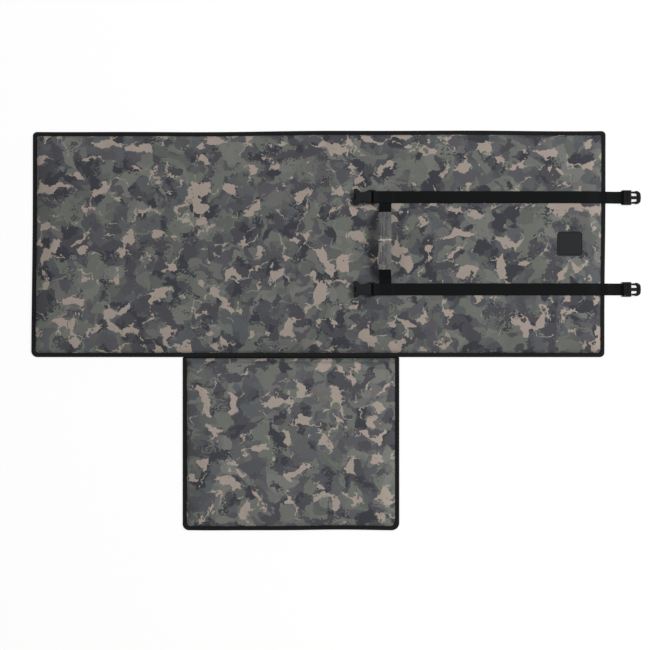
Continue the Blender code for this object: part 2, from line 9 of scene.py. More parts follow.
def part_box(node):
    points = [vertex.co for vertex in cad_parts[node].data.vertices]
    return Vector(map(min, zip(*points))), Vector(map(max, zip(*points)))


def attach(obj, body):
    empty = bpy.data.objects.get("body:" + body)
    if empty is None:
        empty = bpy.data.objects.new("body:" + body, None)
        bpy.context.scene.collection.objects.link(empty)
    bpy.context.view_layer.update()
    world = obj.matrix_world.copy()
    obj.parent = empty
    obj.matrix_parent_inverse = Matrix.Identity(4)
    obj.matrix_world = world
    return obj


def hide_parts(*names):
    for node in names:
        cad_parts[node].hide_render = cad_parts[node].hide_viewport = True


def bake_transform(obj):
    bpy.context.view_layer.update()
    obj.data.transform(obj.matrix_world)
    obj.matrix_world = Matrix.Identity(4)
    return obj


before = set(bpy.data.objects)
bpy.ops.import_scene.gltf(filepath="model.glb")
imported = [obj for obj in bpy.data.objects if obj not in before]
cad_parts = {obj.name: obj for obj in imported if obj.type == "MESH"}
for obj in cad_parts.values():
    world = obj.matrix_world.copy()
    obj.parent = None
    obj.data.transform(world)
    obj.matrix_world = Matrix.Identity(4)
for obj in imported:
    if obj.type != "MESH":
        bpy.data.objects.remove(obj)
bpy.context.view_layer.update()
scene = bpy.context.scene

# Pads, in metres like everything here
HEM_TUCK = 0.0018
HEM_LEVEL = 0.0030
SHOULDER_START = 0.0095
SHOULDER_RUN = 0.0342
SHOULDER_STEPS = 9
PAD_STEP = 0.008
COVER_THICKNESS = 0.0008
COVER_CORNER_LESS = 0.0040
COVER_CORNER_GROWTH = 0.58
CORNER_KEPT_TO = 0.045
CORNER_GONE_AT = 0.150
BASE_RAMP_START = 0.0096
BASE_RAMP_END = 0.0140
BASE_FLAT_RUN = 0.02
BASE_STEP = 0.03

# How pressure and sewing shape the covers
SWELL_FRAMES = 20
SWELL_CAP = 0.0035
SWELL_CLOTH = {
    "quality": 4, "mass": 0.2, "tension_stiffness": 20, "compression_stiffness": 20, "bending_stiffness": 4,
    "shrink_min": -0.006, "use_pressure": True, "uniform_pressure_force": 4.0,
}
HEM_PIN_FALL = 0.012
PIN_FALL = 0.022
PUCKER_HEIGHT = 0.00055
PUCKER_LENGTH = 0.013
PUCKER_WIDTH = 0.05
PUCKER_RISE = 0.006
PUCKER_REACH = 0.034
EDGE_WAVE = 0.0012

# Edge binding
TAPE_WIDTH = 0.009
TAPE_THICKNESS = 0.0008
TAPE_STEP = 0.006
TAPE_CUT_SLANT = 0.0002
TAPE_CORNER_GROWTH = -0.5
CORNER_STEPS = 8
RIPPLE_HEIGHT = 0.00018
RIPPLE_LENGTHS = (0.021, 0.0087)
RIPPLE_FULL_AT = 0.001
FLAP_END_GAP = 0.0004
FLAP_END_SLANT = 0.62

# Hinge tape
HINGE_TAPE_STEPS = 60
HINGE_THIN = 0.0003
HINGE_FOLD = 0.0008
HINGE_LIP = 0.0009
HINGE_CORNER_GAP = 0.0002
HINGE_END_SHARE = 0.02
HINGE_SEAM_INSET = 0.0030
HINGE_BEND = (0.0003, -0.0006)

# Webbing
WEBBING_WIDTH = 0.025
WEBBING_EDGE = 0.0006
WEBBING_CROWN = 0.06
GAP = 0.0003
BAR_RADIUS = 0.002
BAR_SUNK = 0.001
LOOP_TAIL = 0.007
LOOP_LEAD = 0.0058
STRAP_END_TAIL = 0.020
PATH_STEP = 0.006
PATH_LEAST_STEP = 0.0005
TAB_STEP_RUN = 0.004
TAB_SETTLE_RUN = 0.012
SHOULDER_LEAD = 0.01
SHOULDER_FOOT = 0.0035
STRAP_BEND = (-0.0015, 0.004)
STRAP_WAVE = 0.00012
STRAP_WAVE_FROM_X = 0.17
STRAP_WAVE_TO_X = 0.54

# Carry handle
HANDLE_LEAN = -0.0018
HANDLE_LEAN_RUN = 0.035
HANDLE_RISE = 0.0275
HANDLE_RAMP = 0.046
HANDLE_STEPS = 36
SLEEVE_STEPS = 44
SLEEVE_EASE_WIDTH = 0.0007
SLEEVE_EASE_HEIGHT = 0.0012
SLEEVE_CLOTH = 0.0008
SLEEVE_CLOTH_RISE = 0.0009
SLEEVE_CREASES = (-0.0052, 0.0034)
SLEEVE_SEAMS = (0.0012, -0.0102)
SLEEVE_SEAM_END = 0.002
SLEEVE_HEM_STATIONS = (0, 0.0004, 0.0012, 0.0028, 0.0036)
SLEEVE_HEM_AT = 0.0018
SLEEVE_HEM_HALF = 0.0016
SLEEVE_HEM_SWELL = 0.35
SLEEVE_BODY_START = 0.006
SLEEVE_CLOSED_SHARE = 0.82
SLEEVE_FOLD = 0.00045
SLEEVE_CREASE_DEPTH = 0.00075
SLEEVE_CREASE_WIDTH = 0.0008
SLEEVE_CREASE_WANDER = 0.0010

# Stitches
STITCH_LENGTH = 0.0027
STITCH_PITCH = 0.0033
STITCH_WIDTH = 0.00055
STITCH_HEIGHT = 0.0004
STITCH_SIDES = 6
HEADING_REACH = 0.0004
BINDING_SEAM_INSET = 0.0066
STRAP_SEAM_INSET = 0.0022
STRAP_SEAM_START = 0.012
BOX_SEAM_INSET = 0.0035
TACK_PITCH = 0.0006
TACK_SLANT = 1.25

# Patch
PATCH_RADIUS = 0.006
PATCH_LEAST_RADIUS = 0.0008
PATCH_SEAM_INSET = 0.0029
PATCH_SEAM_RADIUS = 0.0036
PATCH_SEAM_SHARE = 0.64
# The patch from its underside over the rim to its middle, as insets and shares of its thickness
PATCH_PROFILE = (
    (0.0014, 0.0), (0.0, 0.0), (0.0, 0.55), (0.0003, 0.85), (0.0009, 1.0), (0.0015, 1.0), (0.0019, 0.9),
    (0.0023, 0.62), (0.0036, 0.58), (0.0039, 0.7), (0.0043, 0.72), (0.0120, 0.76), (0.0220, 0.80),
)

# Mouldings
MOULDING_ROUNDING = 0.0003
ROUNDED_FROM_DEGREES = 50
SHARP_FROM_DEGREES = 38
CUT_EDGE = 0.0008
CUT_PAST = 0.003
CUT_OVER = 0.004
CUT_THROUGH = 0.005
CUT_RADIUS = 0.0006

# Buckle sockets
SOCKET_END_HALF = 0.0132
SOCKET_NECK_HALF = 0.0148
SOCKET_WAIST_HALF = 0.0100
SOCKET_END_ROUND = 0.0012
SOCKET_LIP = 0.001
SOCKET_LIP_DROP = 0.0006
SOCKET_RAMP_SHARE = 0.115
SOCKET_SQUARENESS = 0.3
SOCKET_WALL = 0.0022
SOCKET_SIDE_WALL = 0.0026
POCKET_END_X = 0.1040
NOTCH_DEPTH = 0.0045
NOTCH_HALF = 0.0058
NOTCH_RADIUS = 0.0022
NOTCH_DROP = 0.0035
LOOP_ROOM = 0.0013
BULGE_RUN = 0.0018
REAR_GAP_RUN = 0.0030
REAR_GAP_FLOOR = 0.0030

# Buckle plugs
PLUG_BAR_INSET = 0.004
PLUG_BAR_Z = 0.004
PLUG_BODY_RUN = 0.0190
PLUG_EDGE = 0.0016
PLUG_LOOP_ROOM = 0.0011
FRAME_REAR_REACH = 0.0028
FRAME_REAR_CORNER = ((0, -0.0024), (0.0009, -0.0013), (0.0021, -0.0003), (0.0034, 0))
BODY_CORNER = ((-0.0014, 0), (-0.0003, -0.0006), (0, -0.0016))
BODY_FRONT_HALF = 0.0052
KEEPER_HALF = 0.0148
KEEPER_LEVEL = 0.0007
KEEPER_DROP = 0.0028
KEEPER_BEND_AT = 0.0129
KEEPER_BEND_RUN = 0.0018
KEEPER_SHIFT = -0.0008
KEEPER_SECTION = (0.0010, 0.0006)
GRIP_RIBS = (0.0042, 0.0026)
GRIP_RIB_SECTION = (0.0005, 0.0004)
GRIP_RIB_INSET = 0.003
TONGUE_PAST = 0.0056
TONGUE_HEAD = 0.0046
TONGUE_NECK = 0.0035
TONGUE_ROOT = 0.0042
TONGUE_NECK_FROM = (-0.001, 0.0012)
TONGUE_NECK_TO = (-0.0110, -0.0085)
TONGUE_HALF = 0.0009
TONGUE_EDGE = 0.0005
PRONG_SPREAD = 0.0282
PRONG_EDGE = 0.0006
PRONG_SLOT_HALF = 0.0012
PRONG_SLOT_OVERLAP = 0.0009
# A prong's outline, as shares of its length and of half the spread of both: back, root, inner side and slot
PRONG_BACK = (
    (0.00, 0.74), (0.00, 0.90), (0.24, 0.92), (0.38, 0.92), (0.43, 1.00), (0.54, 0.99),
    (0.66, 0.95), (0.77, 0.87), (0.87, 0.74), (0.94, 0.56), (0.965, 0.36), (0.97, 0.17),
)
PRONG_ROOT = ((0.38, 0.61), (0.06, 0.61))
PRONG_INNER = ((0.85, 0.165), (0.60, 0.17), (0.56, 0.24), (0.54, 0.44), (0.50, 0.56))
PRONG_SLOT = ((0.95, 0.62), (0.90, 0.58), (0.77, 0.66), (0.62, 0.72), (0.50, 0.68))
PRONG_OUTLINE = PRONG_BACK + PRONG_INNER + PRONG_ROOT
PRONG_SLOT_OUTLINE = PRONG_BACK[:9] + PRONG_SLOT + PRONG_ROOT

# Surfaces
MILLIMETRES = 1000.0
CLOTH_PITCH = 0.00055
CLOTH_RELIEF = 0.00008
FLAP_PALER = 0.19
FLAP_PALE_RUN = 0.02
SLEEVE_STREAK_Y = 0.0063
SLEEVE_STREAK_HALF = 0.0017

# View and light
FRAME_WIDTH = 1.3608
VIEW_PLACE = (0.0133, -0.1696, 3.6)
LAMP_PLACE = (3.0, 0.9, 3.0)
LAMP_AIM = (0, -0.17, 0)
LAMP_SIZE = 1.8
LAMP_WATTS = 118.0
SKY_LEVEL = 0.62
FLOOR_WHITE_SHARE = 0.8
FLOOR_HALF = 6
FLOOR_DROP = 0.0002

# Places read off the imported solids
MAIN_LOW, MAIN_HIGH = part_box("main_edge_binding")
FLAP_LOW, FLAP_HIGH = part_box("flap_edge_binding")
FLAP_REAR_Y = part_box("flap_top_cover")[1].y + HEM_TUCK
PAD_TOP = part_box("main_top_cover")[1].z
TAB_LOW, TAB_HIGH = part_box("rear_handle_tab")
WEBBING_THICKNESS = TAB_HIGH.z - TAB_LOW.z
HANDLE_X = (TAB_LOW.x + TAB_HIGH.x) / 2
HEM_TOP = MAIN_HIGH.z
EDGE_X = MAIN_HIGH.x
STRAP_LEVEL = PAD_TOP + GAP + WEBBING_THICKNESS / 2
OVER_TAB_LEVEL = STRAP_LEVEL + WEBBING_THICKNESS + GAP
HEM_STRAP_LEVEL = HEM_TOP + GAP + WEBBING_THICKNESS / 2
LOOP_RADIUS = BAR_RADIUS + GAP + WEBBING_THICKNESS / 2
STRAP_ROOM_HALF = WEBBING_WIDTH / 2 + GAP
SOCKET_BAR = (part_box("rear_strap")[0].x + LOOP_RADIUS + WEBBING_THICKNESS / 2, STRAP_LEVEL + LOOP_RADIUS)
PLUG_BAR_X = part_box("rear_plug_frame")[0].x + PLUG_BAR_INSET
# The free strap's way down from the pad's edge, as distances past the edge and levels
FREE_DROP = ((0.0015, HEM_STRAP_LEVEL + 0.0008), (0.0040, 0.0061), (0.0078, 0.0054), (0.0135, 0.0036))
FREE_LOW_AT = 0.0190
FREE_START = -0.0025

MAIN_RECT = (MAIN_LOW.x, MAIN_HIGH.x, MAIN_LOW.y, MAIN_HIGH.y)
FLAP_RECT = (FLAP_LOW.x, FLAP_HIGH.x, FLAP_LOW.y, FLAP_REAR_Y)
# Each pad's corners, anticlockwise from its right rear one: the radius of the bound edge
CORNERS = {MAIN_RECT: (0.009, 0.009, 0.013, 0.010), FLAP_RECT: (0.0075, 0.0075, 0.013, 0.016)}
# Each pad's name, outline, body and the seed of its puckers
PADS = (("main", MAIN_RECT, "main_mat", 2.0), ("flap", FLAP_RECT, "kneeling_flap", 9.0))
SIDES = ("rear", "front")
# How each edge wanders: the axis across it and its side, where the wander starts and how soon it is full, its
# waves as radians to a metre, phase and share of EDGE_WAVE, and its slant as a slope and a shift
EDGES = (
    (1, 1, 0.13, 0.10, ((7.1, 0.6, 0.8), (17.3, 2.0, 0.35)), 0.0026, -0.0007),
    (0, -1, 0.47, 0.12, ((13.0, 1.1, 0.4),), 0.00168 / MAIN_HIGH.y, 0),
    (0, 1, 0.50, 0.09, ((19.0, 0.4, 0.3),), 0.00156 / MAIN_HIGH.y, 0),
    (1, -1, 0.40, 0.18, ((15.0, 1.0, 0.6), (31.0, 0.0, 0.25)), 0, 0),
)


def strap_y(side):
    """The middle line of a strap."""
    low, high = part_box(side + "_strap")
    return (low.y + high.y) / 2


HANDLE_REAR_Y = strap_y("rear") - WEBBING_WIDTH / 2
HANDLE_FRONT_Y = strap_y("front") + WEBBING_WIDTH / 2


def ease(share):
    """A smooth rise from 0 to 1."""
    share = np.clip(share, 0, 1)
    return share * share * (3 - 2 * share)


# Node trees


class Tree:
    """Short calls for building a node tree."""

    def __init__(self, tree):
        self.tree = tree

    def add(self, kind, inputs=None, **settings):
        node = self.tree.nodes.new("ShaderNode" + kind)
        for name, value in settings.items():
            setattr(node, name, value)
        for socket, value in (inputs or {}).items():
            self.feed(node.inputs[socket], value)
        return node

    def feed(self, socket, value):
        if isinstance(value, bpy.types.NodeSocket):
            self.tree.links.new(value, socket)
        else:
            socket.default_value = value

    def math(self, operation, a, b=0.0, c=0.0, clamp=False):
        node = self.add("Math", operation=operation, use_clamp=clamp)
        for socket, value in zip(node.inputs, (a, b, c)):
            self.feed(socket, value)
        return node.outputs[0]

    def plus(self, a, b, clamp=False):
        return self.math("ADD", a, b, clamp=clamp)

    def minus(self, a, b, clamp=False):
        return self.math("SUBTRACT", a, b, clamp=clamp)

    def times(self, a, b):
        return self.math("MULTIPLY", a, b)

    def line(self, value, slope, shift, clamp=False):
        """A value times a slope, plus a shift."""
        return self.math("MULTIPLY_ADD", value, slope, shift, clamp)

    def hump(self, angle):
        """The size of an angle's sine: one hump to each half turn."""
        return self.math("ABSOLUTE", self.math("SINE", angle))

    def vector(self, operation, a, b=(0, 0, 0)):
        node = self.add("VectorMath", operation=operation)
        self.feed(node.inputs[0], a)
        self.feed(node.inputs["Scale" if operation == "SCALE" else 1], b)
        return node.outputs[0]

    def axes(self, place):
        """A place's own X, Y and Z."""
        return self.add("SeparateXYZ", {"Vector": place}).outputs

    def noise(self, place, size, detail=2.0, roughness=0.5, shift=(0, 0, 0), colour=False):
        moved = self.vector("ADD", self.vector("SCALE", place, 1 / size), shift)
        node = self.add("TexNoise", {"Vector": moved, "Scale": 1.0, "Detail": detail, "Roughness": roughness})
        return node.outputs["Color" if colour else "Fac"]

    def over(self, factor, below, above):
        node = self.add("Mix", data_type="RGBA")
        self.feed(node.inputs["Factor"], factor)
        self.feed(node.inputs["A"], below)
        self.feed(node.inputs["B"], above)
        return node.outputs["Result"]

    def above(self, value, level, soft=0.004):
        """1 where a value is over a level, across a thin soft edge."""
        return self.line(self.minus(value, level), 1 / soft, 0.5, clamp=True)

    def band(self, value, middle, half, soft=0.004):
        """1 where a value is close to a middle one."""
        away = self.math("ABSOLUTE", self.minus(value, middle))
        return self.above(self.minus(half, away), 0.0, soft)

    def jagged(self, place, sizes, reaches, shift=(0, 0, 0)):
        """A place pushed about at several scales, so that what reads it gets ragged edges."""
        moved = place
        for size, reach in zip(sizes, reaches):
            cloud = self.noise(place, size, 1.0, shift=shift, colour=True)
            push = self.vector("SUBTRACT", cloud, (0.5, 0.5, 0.5))
            moved = self.vector("ADD", moved, self.vector("SCALE", push, reach))
        return moved

    def tinted(self, colour, amount, strength):
        """A colour made a little lighter or darker by a value around a half."""
        factor = self.line(self.minus(amount, 0.5), strength, 1.0)
        return self.vector("SCALE", colour[:3] if isinstance(colour, tuple) else colour, factor)

    def use(self, tree, **inputs):
        """Places a node group and returns what it puts out."""
        node = self.add("Group", node_tree=tree)
        for socket, value in inputs.items():
            self.feed(node.inputs[socket], value)
        return node.outputs[0]


def group(name, inputs, output, kind, build):
    """A node group with one output: build gets a Tree and the input sockets, and returns what it puts out."""
    tree = bpy.data.node_groups.new(name, "ShaderNodeTree")
    for label, (input_kind, value) in inputs.items():
        socket = tree.interface.new_socket(label, in_out="INPUT", socket_type="NodeSocket" + input_kind)
        if value is not None:
            socket.default_value = value
    tree.interface.new_socket(output, in_out="OUTPUT", socket_type="NodeSocket" + kind)
    entry = tree.nodes.new("NodeGroupInput")
    leave = tree.nodes.new("NodeGroupOutput")
    t = Tree(tree)
    t.feed(leave.inputs[output], build(t, entry.outputs))
    return tree


def shade(*levels):
    """A screen colour, 0 to 255, as a linear one."""
    shares = [level / 255 for level in levels]
    return (*[s / 12.92 if s <= 0.04045 else ((s + 0.055) / 1.055) ** 2.4 for s in shares], 1.0)


# The print's tones. Each grey comes with the share at which it starts.
GREYS = (
    (0.00, shade(88, 89, 91)), (0.22, shade(101, 101, 100)), (0.36, shade(84, 83, 87)),
    (0.56, shade(85, 89, 91)), (0.70, shade(79, 80, 83)), (0.88, shade(99, 98, 97)),
)
MOSS = shade(91, 94, 90)
SAGE, PALE_SAGE, THIN_SAGE = shade(102, 105, 99), shade(109, 110, 106), shade(101, 104, 98)
SLATE, DEEP_SLATE = shade(74, 74, 78), shade(61, 62, 67)
ROSY_TAN, SANDY_TAN, PALE_TAN = shade(152, 140, 133), shade(149, 139, 130), shade(152, 150, 138)
# The sleeve's grey, its pale streak, and the painted shade laid along its creases
SLEEVE_GREY, SLEEVE_PALE, SLEEVE_CREASE_SHADE = shade(98, 99, 99), shade(176, 166, 155), shade(40, 41, 42)


def flat_patches(t, place, size, tones, shift):
    """Ragged cells in a few flat tones; place is in millimetres."""
    moved = t.vector("ADD", t.vector("SCALE", place, 1 / size), shift)
    cells = t.add("TexVoronoi", {"Vector": moved, "Scale": 1.0, "Randomness": 1.0})
    ramp = t.add("ValToRGB")
    ramp.color_ramp.interpolation = "CONSTANT"
    t.feed(ramp.inputs["Fac"], t.add("SeparateColor", {"Color": cells.outputs["Color"]}).outputs[0])
    while len(ramp.color_ramp.elements) < len(tones):
        ramp.color_ramp.elements.new(0.5)
    for element, (at, colour) in zip(ramp.color_ramp.elements, tones):
        element.position = at
        element.color = colour
    return ramp.outputs["Color"]


def ribbon(t, course, girth, least, gain):
    """A band that follows the middle level of one noise, and is as wide as another is above a least level."""
    return t.band(course, 0.5, t.times(t.minus(girth, least), gain))


def build_print(t, given):
    """Flat patches: greys, moss, sage ribbons, crackled dark slate, and ragged tan blotches with thin tails.

    Its sizes are in millimetres, and each noise has its own shift.
    """
    place = t.vector("SCALE", given["Place"], MILLIMETRES)
    ragged = t.jagged(place, (46, 13, 4.2, 1.8), (34, 15, 6.0, 2.2))
    flowing = t.jagged(place, (70, 22, 5), (58, 18, 3.0), (7.3, 1.9, 4.4))
    shredded = t.jagged(place, (40, 13, 5.0, 2.0), (34, 17, 8.0, 2.6), (3.1, 8.8, 2.5))
    colour = flat_patches(t, ragged, 25, GREYS, (1.7, 4.1, 0.3))
    moss = t.noise(flowing, 58, 1.0, shift=(5.5, 2.2, 9.1))
    colour = t.over(t.above(moss, 0.60), colour, MOSS)

    course = t.noise(flowing, 84, 0.5, shift=(1.1, 6.4, 3.8))
    girth = t.noise(flowing, 44, 0.0, shift=(4.9, 9.3, 0.6))
    paler = t.above(t.noise(flowing, 80, 0.0, shift=(9.9, 1.0, 2.0)), 0.5)
    colour = t.over(ribbon(t, course, girth, 0.41, 0.36), colour, t.over(paler, SAGE, PALE_SAGE))
    course = t.noise(flowing, 60, 0.5, shift=(8.4, 3.3, 0.9))
    girth = t.noise(ragged, 50, 0.0, shift=(0.4, 7.3, 2.6))
    colour = t.over(ribbon(t, course, girth, 0.44, 0.22), colour, THIN_SAGE)

    slate = t.noise(ragged, 40, 1.2, 0.5, shift=(2.4, 7.7, 1.2))
    crackle = t.minus(t.noise(place, 4.6, 2.5, 0.65, shift=(0.4, 3.3, 6.1)), 0.5)
    broken = t.above(t.noise(place, 58, 0.0, shift=(8.1, 0.2, 5.2)), 0.50, 0.08)
    slate = t.plus(slate, t.times(crackle, t.line(broken, 0.55, 0.03)))
    colour = t.over(t.above(slate, 0.545), colour, SLATE)
    deep = t.noise(shredded, 40, 1.0, shift=(1.9, 4.7, 6.6))
    colour = t.over(t.times(t.above(slate, 0.560), t.above(deep, 0.520)), colour, DEEP_SLATE)

    course = t.noise(shredded, 47, 0.6, shift=(6.2, 3.5, 7.9))
    girth = t.noise(ragged, 31, 0.3, shift=(3.7, 0.9, 5.6))
    tails = t.times(t.band(course, 0.5, 0.012), t.above(girth, 0.50, 0.01))
    blotches = t.math("MAXIMUM", ribbon(t, course, girth, 0.580, 0.95), tails)
    nicks = t.above(t.noise(place, 5.5, 2.0, 0.6, shift=(7.4, 1.3, 0.8)), 0.70)
    sandy = t.above(t.noise(place, 70, 0.0, shift=(2.2, 2.9, 8.4)), 0.5, 0.1)
    thin = t.minus(1.0, t.above(girth, 0.55, 0.01))
    tan = t.over(t.times(thin, 0.5), t.over(sandy, ROSY_TAN, SANDY_TAN), PALE_TAN)
    return t.over(t.minus(blotches, nicks, clamp=True), colour, tan)


def build_weave(t, given):
    """Threads over and under each other, as a height from 0 to 1."""
    place = t.vector("SCALE", given["Place"], t.math("DIVIDE", math.pi, given["Pitch"]))
    x, y = t.axes(place)[:2]
    turn = t.times(t.math("SINE", t.times(x, 0.5)), t.math("SINE", t.times(y, 0.5)))
    warp_above = t.above(turn, 0.0, 0.5)
    height = t.plus(t.times(t.hump(x), warp_above), t.times(t.hump(y), t.minus(1.0, warp_above)))
    uneven = t.noise(given["Place"], 0.004, 2.0, 0.6)
    return t.line(t.minus(uneven, 0.5), 0.5, height)


def build_ribs(t, given):
    """Close ribs across a tape or strap, each leaning one way and then the other."""
    along, across = t.axes(t.vector("DIVIDE", given["Place"], given["Pitch"]))[:2]
    row = t.hump(t.times(across, math.pi))
    rib = t.hump(t.times(t.plus(along, t.times(row, given["Lean"])), math.pi))
    uneven = t.noise(given["Place"], 0.003, 2.0, 0.6)
    return t.line(t.minus(uneven, 0.5), 0.4, t.plus(t.times(rib, 0.7), t.times(row, 0.3)))


def build_grain(t, given):
    """The fine pebbled skin of moulded plastic or rubber."""
    coarse = t.noise(given["Place"], 0.0007, 2.0, 0.6)
    fine = t.noise(given["Place"], 0.00022, 1.0, 0.5)
    return t.line(fine, 0.4, coarse)


PLACE = {"Place": ("Vector", None)}
WEAVE_IN = {**PLACE, "Pitch": ("Float", 0.0005)}
RIBS_IN = {**PLACE, "Pitch": ("Vector", (0.0012, 0.0022, 1.0)), "Lean": ("Float", 0.5)}
PRINT = group("camouflage_print", PLACE, "Color", "Color", build_print)
WEAVE = group("plain_weave", WEAVE_IN, "Height", "Float", build_weave)
RIBS = group("webbing_ribs", RIBS_IN, "Height", "Float", build_ribs)
GRAIN = group("moulded_grain", PLACE, "Height", "Float", build_grain)


# Finishes


def material(name, build, roughness, specular):
    """A finish. Its builder gets a Tree, a place on the cloth map and a place on the object.

    The builder returns the colour, the change in roughness, the height and how deep that relief is.
    """
    made = bpy.data.materials.new(name)
    made.use_nodes = True
    t = Tree(made.node_tree)
    shader = made.node_tree.nodes["Principled BSDF"]
    cloth = t.add("UVMap", uv_map="cloth").outputs["UV"]
    solid = t.add("TexCoord").outputs["Object"]
    colour, rough_change, height, relief = build(t, cloth, solid)
    t.feed(shader.inputs["Base Color"], colour)
    t.feed(shader.inputs["Roughness"], t.plus(rough_change, roughness, clamp=True))
    bump = t.add("Bump", {"Height": height, "Distance": relief, "Strength": 1.0})
    t.feed(shader.inputs["Normal"], bump.outputs["Normal"])
    shader.inputs["Specular IOR Level"].default_value = specular
    return made


def printed_cloth(t, cloth, solid):
    """The covers' print, a little paler on the flap's cut, with painted shade between its threads."""
    weave = t.use(WEAVE, Place=cloth, Pitch=CLOTH_PITCH)
    # The weave's height darkens the print between threads: painted shade
    colour = t.tinted(t.use(PRINT, Place=cloth), weave, 0.12)
    colour = t.tinted(colour, t.noise(cloth, 0.09, 3.0, 0.6), 0.10)
    from_hinge = t.minus(MAIN_RECT[2], t.axes(cloth)[1])
    flap = t.math("MAXIMUM", t.line(from_hinge, 1 / FLAP_PALE_RUN, 0.5, clamp=True), 0.5)
    return t.tinted(colour, flap, FLAP_PALER), t.times(weave, -0.10), weave, CLOTH_RELIEF


def sleeve_cloth(t, cloth, solid):
    """The sleeve's cut of the same cloth: mostly one grey, with a pale streak across it, painted shade along
    its creases and painted shade between its threads.
    """
    weave = t.use(WEAVE, Place=cloth, Pitch=CLOTH_PITCH)
    printed = t.use(PRINT, Place=t.vector("ADD", solid, (0.31, 0.12, 0.0)))
    colour = t.over(0.55, printed, SLEEVE_GREY)
    ragged_x, ragged_y = t.axes(t.jagged(solid, (0.007, 0.002), (0.005, 0.0018)))[:2]
    colour = t.over(t.band(ragged_y, SLEEVE_STREAK_Y, SLEEVE_STREAK_HALF, 0.0004), colour, SLEEVE_PALE)
    along = t.vector("MULTIPLY", solid, (1.0, 0.06, 1.0))
    colour = t.tinted(colour, t.noise(along, 0.0024, 3.0, 0.7), 0.9)
    across = t.plus(ragged_x, -HANDLE_X - HANDLE_LEAN)
    # Painted shade: each crease of the cloth is darkened along its length
    for middle in SLEEVE_CREASES:
        crease = t.band(across, middle, 0.0006, 0.0008)
        colour = t.over(t.times(crease, 0.40), colour, SLEEVE_CREASE_SHADE)
    # The weave's height also darkens the colour between threads: painted shade
    return t.tinted(colour, weave, 0.12), t.times(weave, -0.1), weave, CLOTH_RELIEF


def base_cloth(t, cloth, solid):
    """The plain coated cloth underneath, in random blotches and with painted shade between its threads."""
    weave = t.use(WEAVE, Place=cloth, Pitch=0.0009)
    blotchy = t.noise(cloth, 0.05, 3.0, 0.6)
    # Darker where the weave is low, between threads (painted shade), and in random blotches
    colour = t.tinted(shade(56, 60, 55), t.line(weave, 0.3, blotchy), 0.25)
    return colour, t.line(blotchy, 0.2, -0.1), weave, 0.00006


def ribbed(tone, pitch, lean, polish, relief):
    """Woven tape or webbing of one colour, with painted shade in the grooves between its ribs."""
    def build(t, cloth, solid):
        ribs = t.use(RIBS, Place=cloth, Pitch=pitch, Lean=lean)
        # The rib height darkens the colour in the grooves: painted shade
        return t.tinted(tone, ribs, 0.5), t.times(ribs, -polish), ribs, relief
    return build


def moulded(tone):
    """A plastic or rubber of one colour with a fine skin."""
    def build(t, cloth, solid):
        grain = t.use(GRAIN, Place=solid)
        handled = t.noise(solid, 0.02, 3.0, 0.6)
        return t.tinted(tone, handled, 0.3), t.line(handled, 0.16, -0.08), grain, 0.00004
    return build


def twisted_thread(t, cloth, solid):
    """Sewing thread with its twist, and painted shade in the twist's grooves."""
    twist = t.add("TexWave", {"Vector": cloth, "Scale": 900.0, "Distortion": 1.0}, bands_direction="DIAGONAL")
    height = twist.outputs["Fac"]
    # The twist's height darkens the thread in its grooves: painted shade
    return t.tinted(shade(24, 24, 26), height, 0.35), 0.0, height, 0.00005


TAPE_WEAVE = ribbed(shade(25, 25, 26), (0.0009, 0.0045, 1.0), 0.15, 0.1, 0.00012)
STRAP_WEAVE = ribbed(shade(13, 14, 15), (0.0013, 0.0031, 1.0), 0.8, 0.12, 0.00016)
CAMOUFLAGE = material("camouflage_cloth", printed_cloth, 0.86, specular=0.0)
BASE = material("coated_base_cloth", base_cloth, 0.6, specular=0.3)
TAPE = material("black_binding_tape", TAPE_WEAVE, 0.8, specular=0.08)
WEBBING = material("black_webbing", STRAP_WEAVE, 0.7, specular=0.06)
SOCKET = material("grey_moulding", moulded(shade(24, 25, 26)), 0.5, specular=0.12)
PLUG = material("black_moulding", moulded(shade(11, 12, 12)), 0.45, specular=0.12)
THREAD = material("black_thread", twisted_thread, 0.6, specular=0.1)
PATCH = material("dark_rubber", moulded(shade(30, 31, 33)), 0.6, specular=0.15)
SLEEVE = material("camouflage_sleeve", sleeve_cloth, 0.8, specular=0.0)


# Meshes


def add_object(name, mesh, finish, smooth=True):
    """An object for a mesh, with its finish."""
    mesh.materials.append(finish)
    if smooth:
        mesh.shade_smooth()
    piece = bpy.data.objects.new(name, mesh)
    scene.collection.objects.link(piece)
    return piece


def place_piece(piece, body, slot, *replaced):
    """Hangs a piece on the body that carries it and hides the solids that it stands for; its finish's slot is
    not used.
    """
    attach(piece, body)
    if replaced:
        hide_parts(*replaced)


def bend_piece(piece, bodies, start, end, slot, *replaced):
    """Bakes a piece's place into its mesh and hides the solids that it stands for; the bodies, the joint's
    start and end and the finish's slot are not used.
    """
    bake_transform(piece)
    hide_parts(*replaced)


def running_length(points, closed=False):
    """How far along a row of points each one is, with the way back to the first where the row is closed."""
    row = np.concatenate([points, points[:1]]) if closed else points
    steps = np.linalg.norm(np.diff(row, axis=0), axis=1)
    return np.concatenate([[0], np.cumsum(steps)])


def mapped_mesh(name, points, faces, corners):
    """A mesh with its faces turned outward and a cloth map, which has a place in metres for each corner."""
    mesh = bpy.data.meshes.new(name)
    mesh.from_pydata(points.tolist(), [], faces)
    layer = mesh.uv_layers.new(name="cloth")
    layer.uv.foreach_set("vector", np.asarray(corners, np.float32).ravel())
    work = bmesh.new()
    work.from_mesh(mesh)
    bmesh.ops.recalc_face_normals(work, faces=work.faces)
    work.to_mesh(mesh)
    work.free()
    return mesh


